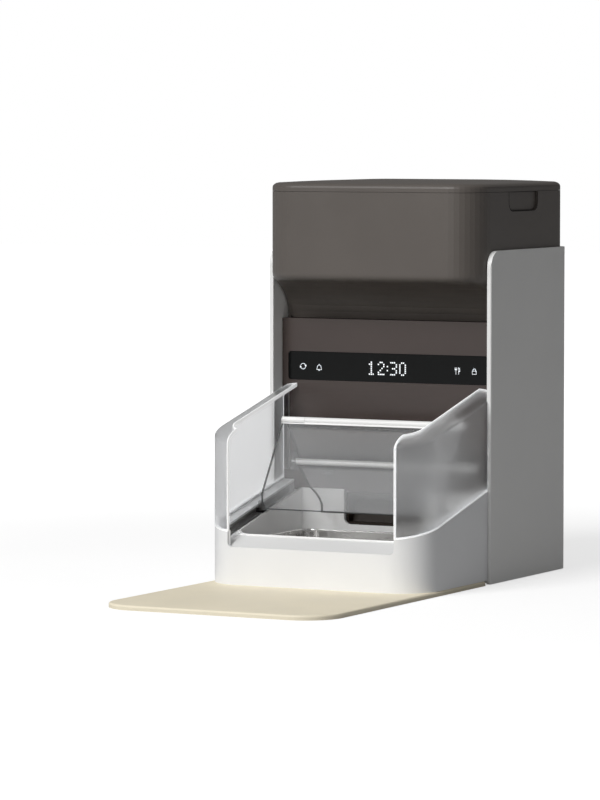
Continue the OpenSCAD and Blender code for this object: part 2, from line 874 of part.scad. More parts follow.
// Sloping duct from the drum's window to the outlet over the bowl
chute_x = outlet_x - gap;
chute_back = rotor_y - motor_r - 0.5;
chute_mouth = panel_low - 1;
module chute_shape(t) {
    front = tub_back + gap;
    polygon([
        [front, outlet_low + t], [front + 8, outlet_low + t],
        [chute_back - t, drum_low - 30], [chute_back - t, drum_low - gap],
        [rotor_y - drum_r - 2 + t, drum_low - gap], [front + 8, chute_mouth - t], [front, chute_mouth - t],
    ]);
}
module food_chute() color("#3d3430") in_frame() {
    wall = 2;
    difference() {
        along_x(-chute_x, chute_x) chute_shape(0);
        along_x(-chute_x + wall, chute_x - wall) {
            chute_shape(wall);
            translate([tub_back - 2, outlet_low + wall]) square([4, chute_mouth - outlet_low - 2 * wall]);
            translate([rotor_y - drum_r - 2 + wall, drum_low - 4])
                square([chute_back - rotor_y + drum_r + 2 - 2 * wall, 6]);
        }
    }
    for (side = [-1, 1]) {
        translate([side * (chute_x + 2) - 4, battery_y - gap - 8, plate_top])
            cube([8, 8, drum_low - 50 - plate_top]);
    }
}

// Light gate that counts the portions, one half on each side of the chute
module chute_sensors() color("#202020") in_frame() {
    for (side = [-1, 1]) {
        translate([side * (chute_x + sensor_w / 2) - sensor_w / 2, sensor_y, sensor_z])
            cube([sensor_w, sensor_d, sensor_d - 2]);
    }
}

// Brown panel with the recess of the display strip
module front_panel() color("#4a3f3a") in_frame() {
    difference() {
        union() {
            translate([-fit_x, panel_y, panel_low]) cube([2 * fit_x, panel_t, cove_low - gap - panel_low]);
            translate([-fit_x, panel_y, cove_low - gap - panel_t])
                cube([2 * fit_x, skirt_y + cove_t - panel_y, panel_t]);
            for (side = [-1, 1]) {
                translate([side * (fit_x - panel_t / 2) - panel_t / 2, panel_y, panel_low])
                    cube([panel_t, skirt_y + cove_t - panel_y, cove_low - gap - panel_low]);
            }
            translate([gear_x - 28, panel_y + panel_t - 1, hinge_h - 9])
                cube([24, pinion_y - motor_box[1] / 2 - gap - panel_y - panel_t + 1, 18]);
        }
        along_y(panel_y - 1, panel_y + lens_t + 0.2) translate([-display_x - gap, display_low - gap])
            soft_box(2 * (display_x + gap), display_h + 2 * gap, 3.2);
        along_y(panel_y, panel_y + panel_t + 1) translate([-display_x + 4, display_low + 4])
            soft_box(2 * display_x - 8, display_h - 8, 2);
        translate([gear_x - 0.8, panel_y - 1, hinge_h - gear_pitch - 2.5])
            cube([gear_w + 1.6, panel_t + 4, 2 * gear_pitch + 5]);
    }
}

module display_lens() color("#101010") in_frame() {
    along_y(panel_y, panel_y + lens_t) translate([-display_x, display_low])
        soft_box(2 * display_x, display_h, 3);
}

module display_board() color("#1e5a3a") in_frame() {
    translate([-display_x + 8, panel_y + panel_t, display_low - 3])
        cube([2 * display_x - 16, board_t, display_h + 6]);
}

// Flat coil that reads the animal's tag
module tag_reader() color("#7a5a30") in_frame() {
    along_y(panel_y + panel_t, panel_y + panel_t + 1.6) difference() {
        translate([-coil_x, coil_low]) soft_box(2 * coil_x, coil_h, 8);
        translate([-coil_x + coil_w, coil_low + coil_w])
            soft_box(2 * (coil_x - coil_w), coil_h - 2 * coil_w, 4);
    }
}

// White tub with a low front opening; its rim carries the shields, its ledges the rails
module base_tub() color("#efefed") in_frame() {
    difference() {
        union() {
            intersection() {
                translate([0, 0, mat_t]) linear_extrude(rim_h + 20)
                    bay_outline(bay_x, -bay_d, step_y, bay_r);
                below_slope(rim_h);
            }
            intersection() {
                translate([-fit_x, -20, plate_top + gap]) cube([2 * fit_x, tub_back + 20, rim_h + 20]);
                below_slope(rim_h);
            }
        }
        difference() {
            translate([0, 0, mat_t + tub_floor]) linear_extrude(rim_h + 40)
                bay_outline(tub_in, -bay_d + bay_wall, panel_y - gap, bay_r - bay_wall);
            for (side = [-1, 1]) {
                intersection() {
                    slope_layer(ledge_h - ledge_t, ledge_h);
                    translate([side * (rail_x + 10) - 10, -rail_front, 0]) cube([20, rail_front + 60, far]);
                }
            }
        }
        // Front opening
        along_y(-bay_d - 1, -bay_d + bay_wall + 1) translate([-notch_x, notch_low])
            soft_box(2 * notch_x, rim_h, notch_r);
        // Food outlet in the back wall
        along_y(panel_y - 2, tub_back + 1) translate([-outlet_x - gap, outlet_low - gap])
            soft_box(2 * (outlet_x + gap), panel_low, 6);
        translate([-fit_x - 1, panel_y - gap, panel_low - gap]) cube([2 * fit_x + 2, 20, 40]);
    }
}

// Dark guide rail under each ledge
module rail(side) {
    mirror([side < 0 ? 1 : 0, 0, 0]) difference() {
        intersection() {
            slope_layer(tray_h - rail_under, ledge_h - ledge_t);
            translate([rail_x, -rail_front - rail_end, 0])
                cube([tub_in - gap - rail_x, rail_front + rail_end + panel_y - 2 * gap, far]);
            linear_extrude(far)
                bay_outline(tub_in - gap, -bay_d + bay_wall + gap, panel_y, bay_r - bay_wall - gap);
        }
        intersection() {
            slope_layer(pin_h - groove_low, pin_h + groove_high);
            translate([rail_x - 1, -rail_front, 0]) cube([rail_deep + 1, rail_front + 8, far]);
            linear_extrude(far) bay_outline(tub_in - 2, -bay_d, panel_y, bay_r - bay_wall);
        }
    }
}

module left_rail() color("#2c2a29") in_frame() rail(-1);

module right_rail() color("#2c2a29") in_frame() rail(1);

// Thin slice of a shield, set in from the base's outline, on the sloping plane at height h
module shield_slice(inset, back, h) {
    intersection() {
        linear_extrude(far) bay_outline(bay_x - inset, -bay_d + inset, back, bay_r - inset);
        slope_layer(h, h + 0.02);
        translate([0, -far / 2, 0]) cube(far);
    }
}

// Body of a shield at depth t under its outside: upright below, then round up to the lip
module shield_body(t, back) {
    hull() {
        shield_slice(t, back, rim_h - t);
        for (a = [0:15:90]) {
            shield_slice(lip_w * (1 - cos(a)) + t * cos(a), back,
                shield_top - lip_h + (lip_h - t) * sin(a) - 0.02);
        }
    }
}

// Clear side wall that wraps round the base's front corner and turns inward at its top
module shield(side) {
    mirror([side < 0 ? 1 : 0, 0, 0]) {
        difference() {
            shield_body(0, shield_back);
            shield_body(bay_wall, far);
            linear_extrude(far) bay_outline(bay_x - lip_w, -bay_d + lip_w, far, bay_r - lip_w);
            translate([notch_x - far, -far / 2, 0]) cube(far);
            translate([fit_x, step_y, 0]) cube(far);
        }
        // Flange against the panel
        intersection() {
            shield_body(0, shield_back);
            along_y(shield_back - 2, shield_back) translate([bay_x - shield_flange, rim_h + 8])
                soft_box(fit_x - bay_x + shield_flange, shield_top, 3.5);
        }
    }
}

module left_shield() color("#dfe3e4") in_frame() shield(-1);

module right_shield() color("#dfe3e4") in_frame() shield(1);

// White tray with a slanting rim; the bowl hangs in it
module feeding_tray() color("#e9e9e6") in_frame() {
    low = mat_t + tub_floor;
    apron = atan2(tray_h - steep * well_front - notch_low, tray_front - well_front);
    difference() {
        intersection() {
            translate([0, 0, low]) linear_extrude(far)
                bay_outline(tray_x, -tray_front, panel_y - 2 * gap, tray_r);
            below_slope(tray_h);
        }
        // Well, and the pocket under the bowl
        translate([0, 0, bowl_rim - bowl_t]) linear_extrude(far)
            bay_outline(well_x, -well_front, panel_y - 2.6, well_r);
        translate([0, 0, low + tray_floor]) linear_extrude(far)
            bay_outline(well_x - shelf, -well_front + shelf, panel_y - 2.6 - shelf, well_r - shelf / 2);
        // Apron that falls from the well's edge to the front opening
        translate([0, -well_front - 1, tray_h - steep * well_front - 1]) rotate([apron, 0, 0])
            translate([-far / 2, -far, 0.6]) cube(far);
        // Hollow under the apron
        translate([-well_x + 4, -tray_front + 2.6, low - 1])
            cube([2 * well_x - 8, tray_front - well_front - 4, notch_low - low - 4]);
        along_y(panel_y - 8, panel_y + 1) translate([-outlet_x, outlet_low])
            soft_box(2 * outlet_x, panel_low, 6);
    }
}

// Steel bowl with a rolled-out rim
module bowl() color("#c8c8c8") in_frame() {
    rim_x = well_x - gap;
    front = -well_front + gap;
    back = panel_y - 2.6 - gap;
    difference() {
        union() {
            translate([0, 0, bowl_rim - bowl_t]) linear_extrude(bowl_t)
                bay_outline_full(rim_x, front, back, well_r - gap);
            bowl_body(0);
        }
        bowl_body(bowl_t);
    }
}

module bay_outline_full(x, front, back, r) {
    hull() {
        for (side = [-1, 1], y = [front + r, back - r]) {
            translate([side * (x - r), y]) circle(r = r);
        }
    }
}

module bowl_body(t) {
    edge = shelf + gap;
    x = well_x - edge;
    front = -well_front + edge;
    back = panel_y - 2.6 - edge;
    hull() {
        translate([0, 0, bowl_rim - (t > 0 ? 0 : bowl_t)]) linear_extrude(t > 0 ? 1 : bowl_t)
            bay_outline_full(x - t, front + t, back - t, 14);
        translate([0, 0, bowl_rim - bowl_deep + 5 + t]) linear_extrude(0.1)
            bay_outline_full(x - bowl_slope + 4 - t, front + bowl_slope - 4 + t,
                back - bowl_slope + 4 - t, 14);
        translate([0, 0, bowl_rim - bowl_deep + t]) linear_extrude(0.1)
            bay_outline_full(x - bowl_slope - t, front + bowl_slope + t, back - bowl_slope - t, 12);
    }
}

// Clear guard below the hinge, leaning out over the outlet and drawn in towards its lower edge
module outlet_guard() color("#d5dadb") in_frame() {
    run_down = sqrt(pow(guard_top - guard_low, 2) + pow(guard_out, 2));
    lean = atan2(guard_out, guard_top - guard_low);
    steps = 12;
    edge = [
        for (i = [0:steps])
            [guard_x + (rear_x - guard_x) * (1 - sin(90 * i / steps)), -run_down * i / steps]
    ];
    translate([0, hinge_y - 2, guard_top]) rotate([90 - lean, 0, 0])
        linear_extrude(guard_t) polygon(concat(
            edge, [for (i = [steps:-1:0]) [-edge[i][0], edge[i][1]]]
        ));
    for (side = [-1, 1]) {
        difference() {
            translate([side * 60 - 4, hinge_y - 6, guard_top - 6])
                cube([8, panel_y - hinge_y + 6, 4]);
            translate([0, hinge_y - 2, guard_top]) rotate([90 - lean, 0, 0])
                translate([-far / 2, -far / 2, guard_t / 2]) cube([far, far, 20]);
        }
    }
}

// Flat mat that slides under the base
module front_mat() color("#dccfae") in_frame() {
    edge = 1.6;
    hull() {
        for (side = [-1, 1]) {
            translate([side * (mat_x - mat_r), -mat_d + mat_r, 0]) {
                cylinder(r = mat_r, h = mat_t - edge, $fn = 64);
                cylinder(r = mat_r - edge, h = mat_t, $fn = 64);
                cylinder(r = mat_r - edge * 0.3, h = mat_t - edge * 0.3, $fn = 64);
            }
            translate([side * (mat_x - 3), -7, 0]) {
                cylinder(r = 3, h = mat_t - edge);
                cylinder(r = 3 - edge, h = mat_t);
            }
        }
    }
}

// Ears on the panel that hold the lid's hinge shaft
module hinge_brackets() color("#e8e8e5") in_frame() {
    for (side = [-1, 1]) {
        low = side > 0 ? bracket_x : -bracket_x - bracket_t;
        difference() {
            union() {
                rod(low, low + bracket_t, hinge_y, hinge_h, barrel_r + 1.2);
                translate([low, hinge_y, hinge_h - barrel_r - 1.2])
                    cube([bracket_t, panel_y - hinge_y, 2 * barrel_r + 2.4]);
                translate([low - (side > 0 ? 0 : 5), panel_y - 1.6, hinge_h - 9])
                    cube([bracket_t + (side > 0 ? 0 : 5), 1.6, 18]);
            }
            rod(low - 1, low + bracket_t + 1, hinge_y, hinge_h, rod_r + run);
        }
    }
}

module hinge_shaft() color("#b4b4b4") in_frame() {
    rod(-bracket_x - bracket_t - 1, gear_x + gear_w + 0.4, hinge_y, hinge_h, rod_r);
}

// Directions of the leaves at rest, as angles from +Y towards +Z
rear_dir = atan2(hinge_h - ridge_h, hinge_y + ridge_out);
rear_len = sqrt(pow(hinge_h - ridge_h, 2) + pow(hinge_y + ridge_out, 2));
front_dir = atan2(bend_z - ridge_h, bend_y + ridge_out);

// Strip along a leaf, from r0 to r1 away from a hinge and t thick
module leaf_strip(low, high, y, z, dir, r0, r1, t) {
    translate([0, y, z]) rotate([dir, 0, 0]) translate([low, r0, -t / 2]) cube([high - low, r1 - r0, t]);
}

// Short clear leaf between the panel's hinge and the ridge
module rear_leaf() color("#d9dee0") in_frame() {
    leaf_strip(-rear_x, rear_x, -ridge_out, ridge_h, rear_dir, strip_w - 3, rear_len - strip_w + 3, leaf_t);
}

// White bar of the rear leaf at the panel
module hinge_bar() color("#efefec") in_frame() {
    difference() {
        union() {
            rod(-leaf_x, leaf_x, hinge_y, hinge_h, barrel_r);
            leaf_strip(-leaf_x, leaf_x, hinge_y, hinge_h, rear_dir + 180, strip_from, strip_w, strip_t);
        }
        rod(-leaf_x - 1, leaf_x + 1, hinge_y, hinge_h, rod_r);
        leaf_strip(-rear_x, rear_x, hinge_y, hinge_h, rear_dir + 180, strip_w - 3, strip_w + 1, leaf_t);
    }
}

// White bar of the rear leaf at the ridge, with a barrel at each end
module rear_ridge_bar() color("#efefec") in_frame() {
    for (side = [-1, 1]) {
        low = side > 0 ? leaf_x - knuckle : -leaf_x;
        difference() {
            rod(low, low + knuckle, -ridge_out, ridge_h, barrel_r);
            rod(low - 1, low + knuckle + 1, -ridge_out, ridge_h, rod_r);
        }
    }
    difference() {
        union() {
            leaf_strip(-rear_x, rear_x, -ridge_out, ridge_h, rear_dir, barrel_r + 0.6, strip_w, strip_t);
            for (side = [-1, 1]) {
                low = side > 0 ? leaf_x - knuckle : -leaf_x;
                leaf_strip(low, low + knuckle, -ridge_out, ridge_h, rear_dir, barrel_r - 0.4,
                    strip_w, strip_t);
            }
        }
        leaf_strip(-rear_x, rear_x, -ridge_out, ridge_h, rear_dir, strip_w - 3, strip_w + 1, leaf_t);
    }
}

module ridge_rod() color("#b4b4b4") in_frame() {
    rod(-leaf_x + 1, leaf_x - 1, -ridge_out, ridge_h, rod_r);
}

// White bar of the front leaf, with its barrel between those of the rear leaf
module front_ridge_bar() color("#f2f2ef") in_frame() {
    reach = leaf_x - knuckle - gap;
    difference() {
        union() {
            rod(-reach, reach, -ridge_out, ridge_h, barrel_r);
            leaf_strip(-reach, reach, -ridge_out, ridge_h, front_dir, strip_from, strip_w, strip_t);
            leaf_strip(-leaf_x, leaf_x, -ridge_out, ridge_h, front_dir, barrel_r + 0.6, strip_w, strip_t);
        }
        rod(-reach - 1, reach + 1, -ridge_out, ridge_h, rod_r + run);
        leaf_strip(-leaf_x - 1, leaf_x + 1, -ridge_out, ridge_h, front_dir, strip_w - 3, strip_w + 1, leaf_t);
    }
}

// Long clear leaf, bent down to a lip at the front
module front_leaf() color("#d9dee0") in_frame() {
    seat = strip_w - 3 + leaf_t / 2;
    start = [-ridge_out + seat * cos(front_dir), ridge_h + seat * sin(front_dir)];
    lip_dir = atan2(lip_z - bend_z, lip_y - bend_y);
    half = (front_dir - lip_dir) / 2;
    reach = bend_r * tan(abs(half));
    enter = [bend_y - reach * cos(front_dir), bend_z - reach * sin(front_dir)];
    centre = [enter[0] - bend_r * sin(front_dir), enter[1] + bend_r * cos(front_dir)];
    steps = 6;
    points = concat(
        [start],
        [for (i = [0:steps])
            let (a = front_dir - 90 + (lip_dir - front_dir) * i / steps)
            [centre[0] + bend_r * cos(a), centre[1] + bend_r * sin(a)]],
        [[lip_y, lip_z]]
    );
    along_x(-leaf_x, leaf_x) ribbon(points, leaf_t);
}

// Dark lugs at the front leaf's lower corners, with the pins that run in the rails
module guide_pins() color("#2c2a29") in_frame() {
    for (side = [-1, 1]) {
        mirror([side < 0 ? 1 : 0, 0, 0]) {
            translate([leaf_x + 0.05, 0, 0]) rotate([90, 0, 90]) linear_extrude(lug_t - 0.05) hull() {
                translate([-pin_out, pin_z]) circle(r = pin_r + 0.6);
                translate([lip_y, lip_z + 3 * lug_r]) circle(r = lug_r);
                translate([lip_y, lip_z + lug_r - 0.5]) circle(r = lug_r);
            }
            rod(leaf_x + lug_t - 0.5, leaf_x + lug_t + pin_reach, -pin_out, pin_z, pin_r);
        }
    }
}

// Gear on the hinge shaft, driven by the pinion behind the panel
module lid_gear() color("#d8d4c8") in_frame() {
    translate([gear_x, hinge_y, hinge_h]) rotate([90, 0, 90]) difference() {
        linear_extrude(gear_w) gear_outline(gear_teeth, gear_m, 0.06);
        translate([0, 0, -1]) cylinder(r = rod_r, h = gear_w + 2);
    }
}

module lid_pinion() color("#b89b5a") in_frame() {
    translate([gear_x, pinion_y, hinge_h]) rotate([90, 0, 90]) {
        // A space between two teeth faces the gear's first tooth
        linear_extrude(gear_w) rotate(180 + 180 / pinion_teeth) gear_outline(pinion_teeth, gear_m, 0.06);
        translate([0, 0, -8]) cylinder(r = 1.5, h = 8.5);
    }
}

// Small gear motor behind the panel
module lid_motor() color("#9a9a9a") in_frame() {
    difference() {
        union() {
            translate([gear_x - 2 - motor_box[0], pinion_y - motor_box[1] / 2, hinge_h - motor_box[2] / 2])
                cube(motor_box);
            rod(gear_x - 2, gear_x - 0.8, pinion_y, hinge_h, 3);
        }
        rod(gear_x - 12, gear_x, pinion_y, hinge_h, 1.5 + run);
    }
}

// Brown cover over the gear
module drive_cover() color("#4a3f3a") in_frame() {
    r = gear_pitch + gear_m + 0.8;
    difference() {
        intersection() {
            translate([gear_x - 0.5, 0, 0]) {
                rod(0, gear_w + 1.9, hinge_y, hinge_h, r + 1);
                translate([0, hinge_y, hinge_h - r - 1]) cube([gear_w + 1.9, panel_y - hinge_y, 2 * r + 2]);
            }
            translate([0, -far + panel_y, 0]) cube(far);
        }
        translate([gear_x - 1, 0, 0]) {
            rod(0, gear_w + 1.7, hinge_y, hinge_h, r);
            translate([0, hinge_y, hinge_h - r]) cube([gear_w + 1.7, panel_y - hinge_y + 1, 2 * r]);
        }
    }
}

outer_shell();
base_plate();
rubber_feet();
base_screws();
battery_box();
battery_door();
power_inlet();
main_board();
speaker();
hopper_body();
hopper_funnel();
hopper_lid();
lid_seal();
desiccant_box();
left_latch();
right_latch();
drum_housing();
rotor();
rotor_shaft();
dispenser_motor();
food_chute();
chute_sensors();
front_panel();
display_lens();
display_board();
tag_reader();
base_tub();
left_rail();
right_rail();
left_shield();
right_shield();
feeding_tray();
bowl();
outlet_guard();
front_mat();
hinge_brackets();
hinge_shaft();
rear_leaf();
hinge_bar();
rear_ridge_bar();
ridge_rod();
front_ridge_bar();
front_leaf();
guide_pins();
lid_gear();
lid_pinion();
lid_motor();
drive_cover();
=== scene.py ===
import math

import bmesh
import bpy
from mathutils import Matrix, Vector


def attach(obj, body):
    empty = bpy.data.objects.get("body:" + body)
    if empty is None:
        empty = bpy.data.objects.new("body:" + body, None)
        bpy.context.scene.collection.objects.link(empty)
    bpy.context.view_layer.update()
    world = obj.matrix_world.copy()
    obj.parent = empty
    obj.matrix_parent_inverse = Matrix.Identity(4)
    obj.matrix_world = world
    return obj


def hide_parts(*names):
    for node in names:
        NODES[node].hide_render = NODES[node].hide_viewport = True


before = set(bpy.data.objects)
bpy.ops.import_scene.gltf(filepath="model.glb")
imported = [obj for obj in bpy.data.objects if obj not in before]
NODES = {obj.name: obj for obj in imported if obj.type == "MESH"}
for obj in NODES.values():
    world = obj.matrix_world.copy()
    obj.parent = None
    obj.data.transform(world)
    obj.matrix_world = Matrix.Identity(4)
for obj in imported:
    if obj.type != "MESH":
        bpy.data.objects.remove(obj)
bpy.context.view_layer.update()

MM = 0.001
# The part's own drawing has y = 0 at the front edge of the shell
SHIFT_Y = 75.5
# Sizes of the part's drawing that the pieces below follow, in millimetres
STEEP = math.tan(math.radians(13.8))
BAY_X = 112.0
BAY_D = 140.0
BAY_R = 37.0
FIT_X = 110.5
STEP_Y = -0.4
NOTCH_X = 84.4
RIM_H = 86.7
SHIELD_TOP = 175.4
SHIELD_BACK = 17.6
SHIELD_WALL = 3.4
LIP_W = 17.3
LIP_H = 8.0
# The folding lid's two hinges, as they lie in the side view (y, z)
RIDGE = Vector((-16.0, 147.0))
HINGE = Vector((13.0, 106.0))
# Width of the strips along cut edges, first on bent pieces and then on flat ones, and their rounding; the
# strips carry the shields' painted highlight and the clear sheets' painted shade
EDGE_STRIP = 0.8
FLAT_SHADE_RIM = 1.7
SHIELD_EASE = 0.5
PLATE_EASE = 0.35
CUT_ANGLE = 50
# Corners of a block made as x, then y, then z, each low and high
BLOCK_FACES = ((0, 1, 3, 2), (4, 6, 7, 5), (0, 4, 5, 1), (2, 3, 7, 6), (0, 2, 6, 4), (1, 5, 7, 3))


def place(x, y, z):
    """A point of the part's drawing, in millimetres, as a point of the row frame in metres."""
    return Vector((x * MM, (y + SHIFT_Y) * MM, z * MM))


# Materials

CLOUD_SCALE = 14.0
GLOSS_VARY = 0.08
BUMP_STRENGTH = 0.5
COAT_ROUGH = 0.06
GLOW_SCALE = 900.0
GLOW_DARK = 0.85
GLOW_ROUGH = 0.4
# Half the height, and half the depth, over which a material turns into another, in millimetres; the depth
# is where the tray's painted shade fades in
CLEAR_BLEND = 0.15
SHADE_BLEND = 1.0


def new_material(name):
    material = bpy.data.materials.new(name)
    material.use_nodes = True
    tree = material.node_tree
    shader = tree.nodes["Principled BSDF"]
    return material, tree, shader


def noise(tree, where, scale, detail=2.0, rough=0.5):
    node = tree.nodes.new("ShaderNodeTexNoise")
    node.inputs["Scale"].default_value = scale
    node.inputs["Detail"].default_value = detail
    node.inputs["Roughness"].default_value = rough
    tree.links.new(where, node.inputs["Vector"])
    return node.outputs["Fac"]


def coordinates(tree, stretch=None):
    """Object coordinates: the row frame in metres, stretched where a grain has a direction."""
    source = tree.nodes.new("ShaderNodeTexCoord").outputs["Object"]
    if stretch is None:
        return source
    mapping = tree.nodes.new("ShaderNodeMapping")
    mapping.inputs["Scale"].default_value = stretch
    tree.links.new(source, mapping.inputs["Vector"])
    return mapping.outputs["Vector"]


def ramp(tree, factor, dark, light, low=0.35, high=0.65):
    node = tree.nodes.new("ShaderNodeValToRGB")
    node.color_ramp.elements[0].position = low
    node.color_ramp.elements[1].position = high
    node.color_ramp.elements[0].color = (*dark, 1)
    node.color_ramp.elements[1].color = (*light, 1)
    tree.links.new(factor, node.inputs["Fac"])
    return node.outputs["Color"]


def spread(tree, factor, low, high):
    """Spreads a noise, whose values lie mostly from 0.3 to 0.7, from one value to another."""
    node = tree.nodes.new("ShaderNodeMapRange")
    node.inputs["From Min"].default_value = 0.3
    node.inputs["From Max"].default_value = 0.7
    node.inputs["To Min"].default_value = low
    node.inputs["To Max"].default_value = high
    tree.links.new(factor, node.inputs["Value"])
    return node.outputs["Result"]


def bump(tree, height, distance):
    node = tree.nodes.new("ShaderNodeBump")
    node.inputs["Strength"].default_value = BUMP_STRENGTH
    node.inputs["Distance"].default_value = distance
    tree.links.new(height, node.inputs["Height"])
    return node.outputs["Normal"]


def moulded(name, colour, rough, vary, grain, depth, alpha=1.0, coat=0.0, stretch=None,
            specular=0.5, metallic=0.0, ior=1.5, transmission=0.0):
    """Moulded plastic or metal: a faint cloudy tone, uneven gloss and a fine surface grain.

    The tone varies by the share vary. The grain is its scale per metre, and its depth is in metres.
    """
    material, tree, shader = new_material(name)
    where = coordinates(tree, stretch)
    clouds = noise(tree, where, CLOUD_SCALE, 3.0)
    fine = noise(tree, where, grain, 2.0, 0.6)
    dark = [c * (1 - vary) for c in colour]
    light = [min(1.0, c * (1 + vary)) for c in colour]
    uneven = spread(tree, clouds, rough * (1 - GLOSS_VARY), rough * (1 + GLOSS_VARY))
    tree.links.new(ramp(tree, clouds, dark, light), shader.inputs["Base Color"])
    tree.links.new(uneven, shader.inputs["Roughness"])
    tree.links.new(bump(tree, fine, depth), shader.inputs["Normal"])
    shader.inputs["Alpha"].default_value = alpha
    shader.inputs["Coat Weight"].default_value = coat
    shader.inputs["Coat Roughness"].default_value = COAT_ROUGH
    shader.inputs["Specular IOR Level"].default_value = specular
    shader.inputs["Metallic"].default_value = metallic
    shader.inputs["IOR"].default_value = ior
    shader.inputs["Transmission Weight"].default_value = transmission
    return material


def lit(name, colour, strength):
    """Glowing surface, a little uneven: the display's small lamps, and the painted highlight that makes
    the shields' cut edges glow.
    """
    material, tree, shader = new_material(name)
    where = coordinates(tree)
    glow = noise(tree, where, GLOW_SCALE)
    dark = [c * GLOW_DARK for c in colour]
    tone = ramp(tree, glow, dark, colour)
    tree.links.new(tone, shader.inputs["Base Color"])
    tree.links.new(tone, shader.inputs["Emission Color"])
    shader.inputs["Emission Strength"].default_value = strength
    shader.inputs["Roughness"].default_value = GLOW_ROUGH
    return material


def clear_beyond(material, height, keep_above, faint=0.0):
    """Makes what is welded on a clear leaf as clear as the leaf beyond a height in millimetres."""
    tree = material.node_tree
    split = tree.nodes.new("ShaderNodeSeparateXYZ")
    tree.links.new(coordinates(tree), split.inputs["Vector"])
    level = tree.nodes.new("ShaderNodeMapRange")
    level.inputs["From Min"].default_value = (height - CLEAR_BLEND) * MM
    level.inputs["From Max"].default_value = (height + CLEAR_BLEND) * MM
    level.inputs["To Min"].default_value = faint if keep_above else 1.0
    level.inputs["To Max"].default_value = 1.0 if keep_above else faint
    tree.links.new(split.outputs["Z"], level.inputs["Value"])
    tree.links.new(level.outputs["Result"], tree.nodes["Principled BSDF"].inputs["Alpha"])
    return material


def paint_shade_by_depth(material, y, front, back):
    """Paints shade by depth: gives a material one colour in front of a depth in millimetres and another
    behind it.
    """
    tree = material.node_tree
    split = tree.nodes.new("ShaderNodeSeparateXYZ")
    tree.links.new(coordinates(tree), split.inputs["Vector"])
    level = tree.nodes.new("ShaderNodeMapRange")
    level.inputs["From Min"].default_value = (y - SHADE_BLEND + SHIFT_Y) * MM
    level.inputs["From Max"].default_value = (y + SHADE_BLEND + SHIFT_Y) * MM
    tree.links.new(split.outputs["Y"], level.inputs["Value"])
    tone = ramp(tree, level.outputs["Result"], front, back, 0.0, 1.0)
    tree.links.new(tone, tree.nodes["Principled BSDF"].inputs["Base Color"])
    return material


# Where the clear part begins on the bars' strips and on the pins' lugs, as heights in millimetres,
# and where the tray's front apron ends, as a depth; in front of it the tray is painted darker as shade
RIDGE_STRIP_Z = 143.9
HINGE_STRIP_Z = 109.1
PIN_LUG_Z = 67.2
SHADED_APRON_Y = -118.0

